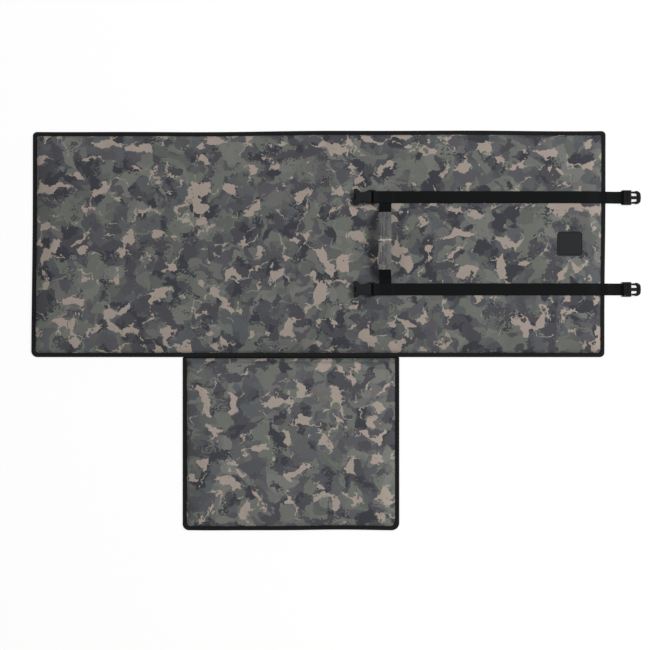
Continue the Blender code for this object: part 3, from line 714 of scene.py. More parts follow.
def skin(count, size, loop=False):
    """The faces over so many rings of so many points, capped at both ends or joined last to first.

    Each corner of a face comes with its ring and its place round the ring, counted on past the last.
    """
    squares = []
    for i in range(count if loop else count - 1):
        squares += [[(i, j), (i, j + 1), (i + 1, j + 1), (i + 1, j)] for j in range(size)]
    if not loop:
        squares += [[(0, j) for j in range(size - 1, -1, -1)], [(count - 1, j) for j in range(size)]]
    faces = [tuple(i % count * size + j % size for i, j in square) for square in squares]
    return faces, [corner for square in squares for corner in square]


def loft(name, rings, finish, loop=False, plan=False, along_from=0.0):
    """A closed skin over rings of points.

    Its cloth map runs along the rings' path and round each ring, or is x and y for a flat piece.
    """
    rings = np.asarray(rings, float)
    count, size = rings.shape[:2]
    flat = rings.reshape(-1, 3)
    along = running_length(rings.mean(axis=1), loop) + along_from
    around = running_length(rings[count // 2], True)
    faces, corners = skin(count, size, loop)
    if plan:
        cloth = [flat[index][:2] for face in faces for index in face]
    else:
        cloth = [(along[i], around[j]) for i, j in corners]
    return add_object(name, mapped_mesh(name, flat, faces, cloth), finish)


def arc(centre, radius, start, end, steps):
    """Points on an arc from one angle to another."""
    turns = np.linspace(start, end, steps + 1)
    return [(centre[0] + radius * math.cos(turn), centre[1] + radius * math.sin(turn)) for turn in turns]


def corner_arcs(rect, radii, steps, quarters=(0, 1, 2, 3)):
    """A rectangle's rounded corners, anticlockwise from its right rear one."""
    x_low, x_high, y_low, y_high = rect
    arcs = []
    for quarter in quarters:
        radius = radii[quarter]
        centre_x = x_high - radius if quarter in (0, 3) else x_low + radius
        centre_y = y_high - radius if quarter in (0, 1) else y_low + radius
        start = quarter * math.pi / 2
        arcs.append(arc((centre_x, centre_y), radius, start, start + math.pi / 2, steps))
    return arcs


def drawn_in(rect, inset):
    """A rectangle with each side moved in."""
    return rect[0] + inset, rect[1] - inset, rect[2] + inset, rect[3] - inset


def rounded(rect, radius, steps):
    """A rectangle with round corners, as one outline."""
    return sum(corner_arcs(rect, [radius] * 4, steps), [])


def ellipse(across, up, steps):
    """Points round an ellipse."""
    turns = np.linspace(0, 2 * math.pi, steps, endpoint=False)
    return [(across * math.cos(turn), up * math.sin(turn)) for turn in turns]


def keep_modified(piece):
    """Puts a piece's modifiers into its mesh."""
    shapes = bpy.context.evaluated_depsgraph_get()
    mesh = bpy.data.meshes.new_from_object(piece.evaluated_get(shapes), depsgraph=shapes)
    piece.modifiers.clear()
    piece.data = mesh


def coordinates(mesh):
    """A mesh's points as an array."""
    found = np.empty(len(mesh.vertices) * 3)
    mesh.vertices.foreach_get("co", found)
    return found.reshape(-1, 3)


def write_coordinates(mesh, points):
    mesh.vertices.foreach_set("co", np.asarray(points, np.float32).ravel())
    mesh.update()


def settled(points):
    """Lets the sewn outline wander a little, as cloth does, away from the hardware and the hinge."""
    points = np.asarray(points, float)
    places = points.copy()
    for axis, side, start, run, waves, slope, shift in EDGES:
        along = places[..., 1 - axis]
        wander = slope * along + shift
        for pace, phase, share in waves:
            wander = wander + EDGE_WAVE * share * np.sin(along * pace + phase)
        points[..., axis] += ease((side * places[..., axis] - start) / run) * wander
    return points


# Pads


def shoulder_level(inset):
    """How high the top cover lies, at a distance in from the pad's edge."""
    share = np.clip((inset - SHOULDER_START) / SHOULDER_RUN, 0, 1)
    return HEM_LEVEL + (PAD_TOP - HEM_LEVEL) * np.sqrt(1 - (1 - share) ** 2)


def edge_stations(length):
    """Distances from one edge of a pad to the other: close together over the shoulders, even between."""
    turns = np.linspace(0, math.pi / 2, SHOULDER_STEPS + 1)
    near = [HEM_TUCK, (HEM_TUCK + SHOULDER_START) / 2]
    near += list(SHOULDER_START + SHOULDER_RUN * (1 - np.cos(turns)))
    count = round((length - 2 * near[-1]) / PAD_STEP)
    inner = list(np.linspace(near[-1], length - near[-1], count + 1)[1:-1])
    return np.array(near + inner + [length - station for station in reversed(near)])


def round_corners(a, b, width, depth, corners):
    """Pulls a grid's corners in, so that each loop round the pad has round corners."""
    right_rear, left_rear, left_front, right_front = corners
    rear = np.where(a > width / 2, right_rear, left_rear)
    front = np.where(a > width / 2, right_front, left_front)
    corner = np.where(b > depth / 2, rear, front) - COVER_CORNER_LESS
    from_x, from_y = np.minimum(a, width - a), np.minimum(b, depth - b)
    inset = np.minimum(from_x, from_y)
    along = np.abs(from_x - from_y)
    kept = 1 - ease((inset - CORNER_KEPT_TO) / (CORNER_GONE_AT - CORNER_KEPT_TO))
    radius = np.maximum((corner + COVER_CORNER_GROWTH * inset) * kept, 1e-9)
    turn = math.pi / 4 * (1 - np.minimum(along / radius, 1))
    nearer = inset + radius * (1 - np.cos(turn))
    farther = inset + radius * (1 - np.sin(turn))
    curved, x_nearer = along < radius, from_x <= from_y
    new_x = np.where(curved, np.where(x_nearer, nearer, farther), from_x)
    new_y = np.where(curved, np.where(x_nearer, farther, nearer), from_y)
    return np.where(a < width / 2, new_x, width - new_x), np.where(b < depth / 2, new_y, depth - new_y), inset


def pad_grid(rect):
    """The top of a pad as a grid of points, and where each point is on the flat cloth."""
    x_low, x_high, y_low, y_high = rect
    a, b = edge_stations(x_high - x_low), edge_stations(y_high - y_low)
    grid_a, grid_b = np.meshgrid(a, b, indexing="ij")
    x, y, inset = round_corners(grid_a, grid_b, x_high - x_low, y_high - y_low, CORNERS[rect])
    points = np.stack([x_low + x, y_low + y, shoulder_level(inset)], axis=-1)
    flat = []
    for stations, length in ((a, x_high - x_low), (b, y_high - y_low)):
        levels = shoulder_level(np.minimum(stations, length - stations))
        flat.append(running_length(np.stack([stations, levels], axis=1)))
    cloth = np.stack(np.meshgrid(*flat, indexing="ij"), axis=-1) + np.array([x_low, y_low])
    return points, cloth


def pad_mesh(name, rect):
    """A closed pad: the shaped top, a short wall at the hem and a flat underside."""
    points, cloth = pad_grid(rect)
    columns, rows = points.shape[:2]
    top = points.reshape(-1, 3)
    border = [(i, 0) for i in range(columns)] + [(columns - 1, j) for j in range(1, rows)]
    border += [(i, rows - 1) for i in range(columns - 2, -1, -1)] + [(0, j) for j in range(rows - 2, 0, -1)]
    lower = [top[i * rows + j] - (0, 0, COVER_THICKNESS) for i, j in border]
    lower_index = {station: len(top) + k for k, station in enumerate(border)}
    faces, corners = [], []
    for i in range(columns - 1):
        for j in range(rows - 1):
            square = ((i, j), (i + 1, j), (i + 1, j + 1), (i, j + 1))
            faces.append(tuple(p * rows + q for p, q in square))
            corners += [cloth[p, q] for p, q in square]
    for near, far in zip(border, border[1:] + border[:1]):
        wall = (near[0] * rows + near[1], lower_index[near], lower_index[far], far[0] * rows + far[1])
        faces.append(wall)
        corners += [cloth[near], cloth[near], cloth[far], cloth[far]]
    for i in range(columns - 1):
        near, far = [(i, 0), (i, rows - 1)], [(i + 1, rows - 1), (i + 1, 0)]
        if i == 0:
            near = [(0, j) for j in range(rows)]
        if i == columns - 2:
            far = [(i + 1, j) for j in range(rows - 1, -1, -1)]
        faces.append(tuple(lower_index[station] for station in near + far))
        corners += [cloth[station] for station in near + far]
    return mapped_mesh(name, np.concatenate([top, lower]), faces, corners)


def pressed_share(x, y):
    """1 where straps, buckles, handle tabs or the patch hold the cover down, falling to 0 round them."""
    held = np.zeros_like(x)
    nodes = [side + part for side in SIDES for part in ("_strap", "_socket", "_handle_tab")]
    for node in nodes + ["blank_patch", "handle_sleeve"]:
        low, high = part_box(node)
        away_x = np.maximum(np.maximum(low.x - x, x - high.x), 0)
        away_y = np.maximum(np.maximum(low.y - y, y - high.y), 0)
        held = np.maximum(held, 1 - ease(np.hypot(away_x, away_y) / PIN_FALL))
    return held


def swell(pads):
    """Fills each cover with a little pressure against its pins, and keeps the shape that the cloth takes."""
    scene.frame_start, scene.frame_end = 1, SWELL_FRAMES
    for pad, held in pads:
        pins = pad.vertex_groups.new(name="held_down")
        for index, weight in enumerate(held):
            pins.add([index], float(weight), "REPLACE")
        cloth = pad.modifiers.new("swell", "CLOTH")
        cloth.settings.vertex_group_mass = pins.name
        for setting, value in SWELL_CLOTH.items():
            setattr(cloth.settings, setting, value)
        cloth.settings.effector_weights.gravity = 0
        cloth.point_cache.frame_end = SWELL_FRAMES
    for moment in range(1, SWELL_FRAMES + 1):
        scene.frame_set(moment)
    shapes = bpy.context.evaluated_depsgraph_get()
    for pad, held in pads:
        rest = coordinates(pad.data)
        moved = coordinates(pad.evaluated_get(shapes).data) - rest
        far = np.linalg.norm(moved, axis=1, keepdims=True)
        capped = SWELL_CAP * np.tanh(far / SWELL_CAP) / np.maximum(far, 1e-9)
        pad.modifiers.clear()
        pad.vertex_groups.clear()
        write_coordinates(pad.data, rest + moved * capped * (1 - held)[:, None])
    scene.frame_set(1)


def pad_inset(points, rect):
    """How far points lie in from a pad's nearest edge, and how far along the outline."""
    x_low, x_high, y_low, y_high = rect
    from_x = np.minimum(points[:, 0] - x_low, x_high - points[:, 0])
    from_y = np.minimum(points[:, 1] - y_low, y_high - points[:, 1])
    along = np.where(from_x < from_y, points[:, 1], points[:, 0])
    return np.minimum(from_x, from_y), along


def pucker(mesh, rect, seed):
    """Small creases that run in from the bound edge over the shoulder, as sewing draws the cloth up."""
    points = coordinates(mesh)
    inset, along = pad_inset(points, rect)
    depth = ease((inset - TAPE_WIDTH) / PUCKER_RISE) * (1 - ease((inset - SHOULDER_START) / PUCKER_REACH))
    top = points[:, 2] > HEM_LEVEL - COVER_THICKNESS / 2
    for index in np.nonzero((depth > 0.01) & top)[0]:
        where = Vector((along[index] / PUCKER_LENGTH, inset[index] / PUCKER_WIDTH, seed))
        wide = Vector((along[index] / (4 * PUCKER_LENGTH), seed, 0.3))
        crease = noise.noise(where) * (0.6 + 0.8 * noise.noise(wide))
        points[index, 2] += PUCKER_HEIGHT * depth[index] * crease
    write_coordinates(mesh, points)


def finer(piece):
    """Divides a piece's faces once, smoothly, and keeps the result."""
    change = piece.modifiers.new("finer", "SUBSURF")
    change.levels = change.render_levels = 1
    change.boundary_smooth = "PRESERVE_CORNERS"
    keep_modified(piece)


def make_pads():
    """The two printed, padded covers."""
    covers = []
    for prefix, rect, *_ in PADS:
        name = prefix + "_padded_cover"
        piece = add_object(name, pad_mesh(name, rect), CAMOUFLAGE)
        points = coordinates(piece.data)
        held = 1 - ease((pad_inset(points, rect)[0] - SHOULDER_START) / HEM_PIN_FALL)
        held = np.where(points[:, 2] < HEM_LEVEL - COVER_THICKNESS / 2, 1.0, held)
        covers.append((piece, np.maximum(held, pressed_share(points[:, 0], points[:, 1]))))
    swell(covers)
    for (piece, _), (prefix, rect, body, seed) in zip(covers, PADS):
        finer(piece)
        pucker(piece.data, rect, seed)
        write_coordinates(piece.data, settled(coordinates(piece.data)))
        piece.data.shade_smooth()
        place_piece(piece, body, "camouflage_fabric", prefix + "_top_cover", prefix + "_foam_core")


def outline_loop(rect, inset, step, quarters=(0, 1, 2, 3), less=0.0, growth=TAPE_CORNER_GROWTH):
    """Points round a pad at one inset: its rounded corners, joined by runs with about this step."""
    counts = round((rect[1] - rect[0]) / step), round((rect[3] - rect[2]) / step)
    radii = [radius - less + growth * inset for radius in CORNERS[rect]]
    corners = corner_arcs(drawn_in(rect, inset), radii, CORNER_STEPS, quarters)
    points = []
    for index, corner in enumerate(corners):
        points += corner
        if index + 1 < len(corners) or len(quarters) == 4:
            after = corners[(index + 1) % len(corners)][0]
            steps = counts[index % 2]
            points += [tuple(Vector(corner[-1]).lerp(Vector(after), k / steps)) for k in range(1, steps)]
    return points


def make_underside(prefix, rect, body):
    """The plain cloth under a pad: flat on the ground, and lifted to the hem at its edge."""
    low = TAPE_THICKNESS + GAP
    under = [(BASE_RAMP_END + BASE_FLAT_RUN, 0), (BASE_RAMP_END, 0), (BASE_RAMP_START, low), (HEM_TUCK, low)]
    over = [(inset, level + COVER_THICKNESS) for inset, level in reversed(under)]
    rings = []
    for inset, level in under + over:
        loop = outline_loop(rect, inset, BASE_STEP, less=COVER_CORNER_LESS, growth=COVER_CORNER_GROWTH)
        rings.append(settled([(x, y, level) for x, y in loop]))
    piece = loft(prefix + "_underside", rings, BASE, plan=True)
    place_piece(piece, body, "base_fabric", prefix + "_base_cover")


# Stitches


def seam_places(path, pitch=STITCH_PITCH, closed=False):
    """Even places along a path: where each stitch sits, and its heading."""
    path = np.asarray(path, float)
    along = running_length(path, closed)
    row = np.concatenate([path, path[:1]]) if closed else path
    count = max(int(along[-1] / pitch), 1)
    stations = (np.arange(count) + 0.5) * along[-1] / count

    def at(distances):
        return np.stack([np.interp(distances, along, row[:, axis]) for axis in range(3)], axis=1)

    return at(stations), at(stations + HEADING_REACH) - at(stations - HEADING_REACH)


def stitch_shape():
    """One stitch: a small spindle of thread, sunk at both ends."""
    girths = ((-1.0, 0.25), (-0.72, 0.8), (0.0, 1.0), (0.72, 0.8), (1.0, 0.25))
    points = []
    for share, girth in girths:
        for k in range(STITCH_SIDES):
            turn = 2 * math.pi * (k + 0.5) / STITCH_SIDES
            side = girth * STITCH_WIDTH / 2 * math.cos(turn)
            rise = girth * STITCH_HEIGHT / 2 * math.sin(turn) - STITCH_HEIGHT * 0.35 * abs(share) ** 3
            points.append((share * STITCH_LENGTH / 2, side, rise))
    faces, corners = skin(len(girths), STITCH_SIDES)
    cloth = np.array(corners, float) * (STITCH_LENGTH / (len(girths) - 1), STITCH_WIDTH / 2)
    return np.array(points), faces, cloth


def sew(name, rows, body, slot, *replaced, slant=0.0):
    """Rows of stitches as one piece. Each row is its places and headings, and may bring its own ways up."""
    shape, faces, maps = stitch_shape()
    all_points, all_faces, all_maps = [], [], []
    for row in rows:
        ups = row[2] if len(row) > 2 else np.tile((0.0, 0.0, 1.0), (len(row[0]), 1))
        for place, heading, normal in zip(row[0], row[1], ups):
            heading = heading / np.linalg.norm(heading)
            side = np.cross(normal, heading)
            side /= np.linalg.norm(side)
            turned = heading * math.cos(slant) + side * math.sin(slant)
            across = np.cross(normal, turned)
            base = len(all_points) * len(shape)
            all_points.append(place + shape[:, :1] * turned + shape[:, 1:2] * across + shape[:, 2:] * normal)
            all_faces += [tuple(base + index for index in face) for face in faces]
            all_maps.append(maps + (0.004 * (len(all_points) % 7), 0))
    mesh = mapped_mesh(name, np.concatenate(all_points), all_faces, np.concatenate(all_maps))
    place_piece(add_object(name, mesh, THREAD), body, slot, *replaced)


# Edge binding


def tape_profile():
    """The folded tape's cross-section as inset and level, drawn in along its seam on both leaves."""
    outer = HEM_TOP / 2
    inner = outer - TAPE_THICKNESS
    fold = arc((outer, outer), outer, -math.pi / 2, -3 * math.pi / 2, 10)
    inside = arc((outer, outer), inner, -3 * math.pi / 2, -math.pi / 2, 6)
    drawn = STITCH_HEIGHT * 0.7
    insets = (0.0040, 0.0055, 0.0061, 0.0066, 0.0071, 0.0077, 0.0084, 0.0088)
    depths = (0.0, 0.25, 0.75, 1.0, 0.75, 0.25, 0.0, 0.25)
    upper = [(inset, HEM_TOP - drawn * depth) for inset, depth in zip(insets, depths)]
    lower = [(inset, drawn * depth) for inset, depth in zip(insets, depths)]
    cut = TAPE_WIDTH - TAPE_CUT_SLANT
    edge = [(TAPE_WIDTH, HEM_TOP - TAPE_THICKNESS * 0.45), (cut, HEM_TOP - TAPE_THICKNESS)]
    low_edge = [(cut, TAPE_THICKNESS), (TAPE_WIDTH, TAPE_THICKNESS * 0.45)]
    return fold + upper + edge + inside + low_edge + lower[::-1]


def rippled(points, along):
    """The small rise and fall of tape between its stitches."""
    points = np.array(points, float)
    level = points[:, :, 2] - HEM_TOP / 2
    long, short = [along * 2 * math.pi / length for length in RIPPLE_LENGTHS]
    ripple = np.sin(long) * 0.5 + np.sin(short + 1.0) * 0.5
    share = np.sign(level) * np.minimum(np.abs(level) / RIPPLE_FULL_AT, 1)
    points[:, :, 2] += share * RIPPLE_HEIGHT * ripple[:, None]
    points[:, :, 2] = np.maximum(points[:, :, 2], 0)
    return points


def main_run(inset, level):
    """The way round the main pad at one inset."""
    return settled([(x, y, level) for x, y in outline_loop(MAIN_RECT, inset, TAPE_STEP)])


def flap_run(inset, level):
    """The way round the flap's three free sides at one inset."""
    end_y = FLAP_RECT[3] - FLAP_END_GAP - FLAP_END_SLANT * level
    middle = outline_loop(FLAP_RECT, inset, TAPE_STEP, quarters=(2, 3))
    (left_x, left_y), (right_x, right_y) = middle[0], middle[-1]
    steps = round((FLAP_RECT[3] - FLAP_RECT[2]) / TAPE_STEP)
    left = [(left_x, end_y + (left_y - end_y) * k / steps) for k in range(steps)]
    right = [(right_x, right_y + (end_y - right_y) * k / steps) for k in range(1, steps + 1)]
    return settled([(x, y, level) for x, y in left + middle + right])


def make_binding(prefix, body, run, closed):
    """Folded tape along a pad's edge, and its two rows of stitches; run gives the way along it."""
    stations = np.stack([run(inset, level) for inset, level in tape_profile()], axis=1)
    along = running_length(stations.mean(axis=1))
    piece = loft(prefix + "_edge_tape", rippled(stations, along), TAPE, loop=closed)
    place_piece(piece, body, "binding_tape", prefix + "_edge_binding")
    sunk = STITCH_HEIGHT * 0.55
    seams = [seam_places(run(BINDING_SEAM_INSET, level), closed=closed) for level in (HEM_TOP - sunk, sunk)]
    sew(prefix + "_edge_seam", seams, body, "binding_tape")


def make_hinge_tape():
    """The tape under the fold, sewn to the flap and caught under the main pad's bound edge."""
    low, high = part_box("flap_hinge_tape")
    join_y = (MAIN_LOW.y + FLAP_REAR_Y) / 2
    fold_y, ramp_y, lip_y = join_y - HINGE_FOLD, join_y - 2 * HINGE_FOLD, join_y + HINGE_LIP
    section = [
        (low.y, HINGE_CORNER_GAP), (low.y + HINGE_THIN, TAPE_THICKNESS), (ramp_y, TAPE_THICKNESS),
        (fold_y, 2 * HINGE_THIN), (join_y, HINGE_THIN), (lip_y, HINGE_THIN), (lip_y, 0.0),
        (join_y, 0.0), (fold_y, 0.0), (ramp_y, 0.0), (low.y + HINGE_THIN, 0.0),
    ]
    narrow = [(max(y, fold_y + (y - fold_y) * HINGE_END_SHARE), min(z, HINGE_THIN)) for y, z in section]
    left = (FLAP_RECT[0] + HINGE_LIP, low.x - HINGE_CORNER_GAP)
    right = (high.x + HINGE_CORNER_GAP, FLAP_RECT[1] - HINGE_LIP)
    middle = np.linspace(low.x, high.x, HINGE_TAPE_STEPS)
    rings = []
    for xs, outline in ((left, narrow), (middle, section), (right, narrow)):
        rings += [[(x, y, z) for y, z in outline] for x in xs]
    piece = loft("hinge_tape", rings, TAPE)
    start, end = [(0, join_y + away, 0) for away in HINGE_BEND]
    bend_piece(piece, ("main_mat", "kneeling_flap"), start, end, "binding_tape", "flap_hinge_tape")

    seam_y = FLAP_REAR_Y - HEM_TUCK - HINGE_SEAM_INSET
    level = shoulder_level(HEM_TUCK + HINGE_SEAM_INSET) + STITCH_HEIGHT * 0.2
    row = [(low.x, seam_y, level), (high.x, seam_y, level)]
    sew("hinge_seam", [seam_places(row)], "kneeling_flap", "binding_tape")


# Straps


def webbing_section():
    """A webbing's cross-section as across and up, flat with round woven edges."""
    half, up = WEBBING_WIDTH / 2, WEBBING_THICKNESS / 2
    inner = half - WEBBING_EDGE
    round_x = half - WEBBING_EDGE * 0.3
    top = []
    for across in np.linspace(inner, -inner, 13):
        top.append((across, up * (1 - WEBBING_CROWN * math.cos(across / inner * math.pi / 2))))
    left = [(-round_x, up * 0.72), (-half, up * 0.3), (-half, -up * 0.3), (-round_x, -up * 0.72)]
    return np.array(top + left + [(-across, -level) for across, level in top + left])


def rounded_path(points):
    """A path with its corners cut smooth and no long steps."""
    points = [np.array(point, float) for point in points]
    for _ in range(3):
        cut = [points[0]]
        for a, b in zip(points, points[1:]):
            cut += [a * 0.75 + b * 0.25, a * 0.25 + b * 0.75]
        points = cut + [points[-1]]
    made = [points[0]]
    for point in points[1:]:
        start = made[-1]
        gap = np.linalg.norm(point - start)
        if gap < PATH_LEAST_STEP and point is not points[-1]:
            continue
        steps = max(math.ceil(gap / PATH_STEP), 1)
        made += [start + (point - start) * k / steps for k in range(1, steps + 1)]
    return np.array(made)


def ways_up(path, across):
    """Each place's way up, square to a strip's path and its width."""
    headings = np.gradient(path, axis=0)
    headings /= np.linalg.norm(headings, axis=1, keepdims=True)
    ups = np.cross(headings, across)
    return ups / np.linalg.norm(ups, axis=1, keepdims=True)


def strip(name, path, across, along_from=0.0):
    """Webbing along a path; across points to its left as the path runs, so that up is up."""
    ups = ways_up(path, across)
    section = webbing_section()
    rings = path[:, None, :] + section[None, :, :1] * across + section[None, :, 1:] * ups[:, None, :]
    return loft(name, rings, WEBBING, along_from=along_from)


def wrap(centre, before, after):
    """The clockwise arc of a strip that comes from one point, bends round a bar and leaves for another."""
    ends = []
    for point, sign in ((before, -1), (after, 1)):
        away = Vector(point) - Vector(centre)
        ends.append(math.atan2(away.y, away.x) + sign * math.acos(LOOP_RADIUS / away.length))
    start, end = ends
    while end > start:
        end -= 2 * math.pi
    return arc(centre, LOOP_RADIUS, start, end, 16)


def sewn_route():
    """A strap's way, as x and z: from its tail under the socket, along the pad and down its shoulder."""
    tail = (SOCKET_BAR[0] + LOOP_TAIL, STRAP_LEVEL)
    landing = (TAB_LOW.x - GAP - WEBBING_THICKNESS, OVER_TAB_LEVEL)
    leave = TAB_HIGH.x + GAP + WEBBING_THICKNESS
    path = [tail] + wrap(SOCKET_BAR, tail, landing) + [landing]
    shoulder_x = EDGE_X - SHOULDER_START - SHOULDER_RUN - SHOULDER_LEAD
    path.append((leave, OVER_TAB_LEVEL))
    path += [(x, STRAP_LEVEL) for x in (leave + TAB_STEP_RUN, leave + TAB_SETTLE_RUN, shoulder_x)]
    lift = GAP + WEBBING_THICKNESS / 2
    for turn in np.linspace(math.pi / 2, 0.12, 12):
        inset = SHOULDER_START + SHOULDER_RUN * (1 - math.cos(turn))
        level = HEM_LEVEL + (PAD_TOP - HEM_LEVEL) * math.sin(turn)
        slope = Vector((math.cos(turn) * (PAD_TOP - HEM_LEVEL), math.sin(turn) * SHOULDER_RUN)).normalized()
        path.append((EDGE_X - inset + slope.x * lift, level + slope.y * lift))
    foot = EDGE_X - SHOULDER_START + SHOULDER_FOOT
    return path + [(x, HEM_STRAP_LEVEL) for x in (foot, EDGE_X + FREE_START)]


def free_route():
    """The rest of its way: over the edge, down to the plug's bar, round it and back to the tail below."""
    tail_level = WEBBING_THICKNESS / 2 + GAP
    upper_level = tail_level + WEBBING_THICKNESS + GAP
    path = [(EDGE_X + FREE_START, HEM_STRAP_LEVEL)] + [(EDGE_X + past, level) for past, level in FREE_DROP]
    path += [(EDGE_X + FREE_LOW_AT, upper_level), (PLUG_BAR_X - LOOP_LEAD, upper_level)]
    under = [(PLUG_BAR_X - LOOP_LEAD, tail_level), (PLUG_BAR_X - STRAP_END_TAIL, tail_level)]
    return path + wrap((PLUG_BAR_X, PLUG_BAR_Z), path[-1], under[0]) + under


def make_strap(side):
    """One strap, sewn along the main pad and free beyond its edge, and the thread that holds it."""
    y = strap_y(side)
    sewn, free = [rounded_path([(x, y, z) for x, z in route]) for route in (sewn_route(), free_route())]
    xs = sewn[:, 0]
    loose = (xs > STRAP_WAVE_FROM_X) & (xs < STRAP_WAVE_TO_X)
    sewn[:, 2] += np.where(loose, np.sin(xs * 41 + y * 30) * STRAP_WAVE, 0)
    across = np.array((0.0, -1.0, 0.0))
    piece = strip(side + "_strap_webbing", sewn, across)
    place_piece(piece, "main_mat", "webbing", side + "_strap")
    piece = strip(side + "_free_webbing", free, across, along_from=running_length(sewn)[-1])
    start, end = [(EDGE_X + past, y, 0) for past in STRAP_BEND]
    bend_piece(piece, ("main_mat", side + "_free_strap"), start, end, "webbing", side + "_strap_end")

    first = np.nonzero(xs > SOCKET_BAR[0] + STRAP_SEAM_START)[0][0]
    rise = WEBBING_THICKNESS / 2 + STITCH_HEIGHT * 0.1
    rows = []
    for sign in (1, -1):
        edge = sewn[first:] + np.array((0, sign * (WEBBING_WIDTH / 2 - STRAP_SEAM_INSET), 0))
        places, turns = seam_places(edge + ways_up(sewn, across)[first:] * rise)
        rows.append((places, turns, np.cross(turns / np.linalg.norm(turns, axis=1, keepdims=True), across)))
    sew(side + "_strap_seams", rows, "main_mat", "webbing")

    half = WEBBING_WIDTH / 2 - BOX_SEAM_INSET
    lines = [[(-half, -half), (half, -half), (half, half), (-half, half), (-half, -half)]]
    lines += [[(-a, -half), (a, half)] for a in (-half, half)]
    rows = [seam_places([(HANDLE_X + a, y + b, OVER_TAB_LEVEL + rise) for a, b in line]) for line in lines]
    sew(side + "_box_seam", rows, "main_mat", "tack_thread", side + "_strap_handle_tack")

    low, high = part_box(side + "_strap_edge_tack")
    middle = (low.x + high.x) / 2
    row = seam_places([(middle, low.y, low.z), (middle, high.y, low.z)], TACK_PITCH)
    sew(side + "_edge_tack", [row], "main_mat", "tack_thread", side + "_strap_edge_tack", slant=TACK_SLANT)


# Carry handle


def handle_middle(y):
    """The middle of the handle's webbing, which rises and leans from its two sewn ends."""
    from_end = np.minimum(HANDLE_REAR_Y - y, y - HANDLE_FRONT_Y)
    x = HANDLE_X + HANDLE_LEAN * ease(from_end / HANDLE_LEAN_RUN)
    return x, y, STRAP_LEVEL + HANDLE_RISE * ease(from_end / HANDLE_RAMP)


def make_handle():
    """The webbing arch in two lengths that meet inside the sleeve, each sewn down under a strap."""
    sleeve_low, sleeve_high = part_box("handle_sleeve")
    middle = (sleeve_low.y + sleeve_high.y) / 2
    for side, end_y, leave_y, hold_y, sign in (
        ("front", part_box("front_handle_tab")[0].y, HANDLE_FRONT_Y, sleeve_low.y, 1.0),
        ("rear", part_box("rear_handle_tab")[1].y, HANDLE_REAR_Y, sleeve_high.y, -1.0),
    ):
        path = np.stack(handle_middle(np.linspace(end_y, middle, HANDLE_STEPS)), axis=1)
        piece = strip(side + "_handle_webbing", path, np.array((sign, 0.0, 0.0)))
        start, end, tab = (HANDLE_X, leave_y, 0), (HANDLE_X, hold_y, 0), side + "_handle_tab"
        bend_piece(piece, ("main_mat", "handle"), start, end, "webbing", "handle_webbing", tab)


def sleeve_creases(across, y, side):
    """Soft folds and two sharper lengthwise creases in the sleeve's cloth."""
    fold = SLEEVE_FOLD * noise.noise(Vector((across / 0.0034, y / 0.030, 7.0 + 4.0 * side)))
    for middle in SLEEVE_CREASES:
        wander = middle + SLEEVE_CREASE_WANDER * noise.noise(Vector((y / 0.028, middle * 900, side)))
        deep = 0.7 + 0.6 * noise.noise(Vector((y / 0.017, middle * 500, 3.0)))
        fold -= SLEEVE_CREASE_DEPTH * deep * math.exp(-((across - wander) / SLEEVE_CREASE_WIDTH) ** 2)
    return fold


def sleeve_ring(y, from_end, inner):
    """One ring of the sleeve, as its outer face or as its inner one."""
    reach = WEBBING_WIDTH / 2 + SLEEVE_EASE_WIDTH
    rise = WEBBING_THICKNESS / 2 + SLEEVE_EASE_HEIGHT
    if inner:
        reach, rise = reach - SLEEVE_CLOTH, rise - SLEEVE_CLOTH_RISE
    else:
        rise *= 1 + SLEEVE_HEM_SWELL * math.exp(-((from_end - SLEEVE_HEM_AT) / SLEEVE_HEM_HALF) ** 2)
    if from_end < SLEEVE_HEM_STATIONS[1] / 2:
        rise *= SLEEVE_CLOSED_SHARE
    centre = np.array(handle_middle(y), float)
    slope = (handle_middle(y + 0.001)[2] - handle_middle(y - 0.001)[2]) / 0.002
    up = np.array((0, -slope, 1)) / math.hypot(1, slope)
    shares = np.sin(np.linspace(1, -1, SLEEVE_STEPS + 1) * math.pi / 2)[:-1]
    ring = []
    for share, side in [(share, 1) for share in shares] + [(-share, -1) for share in shares]:
        fold = 0 if inner else sleeve_creases(share * reach, y, side)
        raised = (rise + fold) * math.sqrt(1 - share ** 4)
        ring.append(centre + np.array((share * reach, 0, 0)) + up * raised * side)
    return ring


def make_sleeve():
    """The cloth sleeve round the grip: drawn flat round the webbing, creased, and hemmed at both ends."""
    low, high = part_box("handle_sleeve")
    hem = np.array(SLEEVE_HEM_STATIONS)
    between = np.linspace(low.y + SLEEVE_BODY_START, high.y - SLEEVE_BODY_START, 44)
    ys = np.concatenate([low.y + hem, between, high.y - hem[::-1]])
    outer = [sleeve_ring(y, min(y - low.y, high.y - y), False) for y in ys]
    inner = [sleeve_ring(y, min(y - low.y, high.y - y), True) for y in ys[::-1]]
    piece = loft("handle_sleeve_cloth", outer + inner, SLEEVE, loop=True)
    place_piece(piece, "handle", "camouflage_fabric", "handle_sleeve")

    line = np.stack(handle_middle(np.linspace(low.y + SLEEVE_SEAM_END, high.y - SLEEVE_SEAM_END, 60)), axis=1)
    rise = WEBBING_THICKNESS / 2 + SLEEVE_EASE_HEIGHT + 0.0001
    rows = [seam_places(line + (across, 0, rise)) for across in SLEEVE_SEAMS]
    sew("handle_sleeve_seam", rows, "handle", "camouflage_fabric")


# Patch


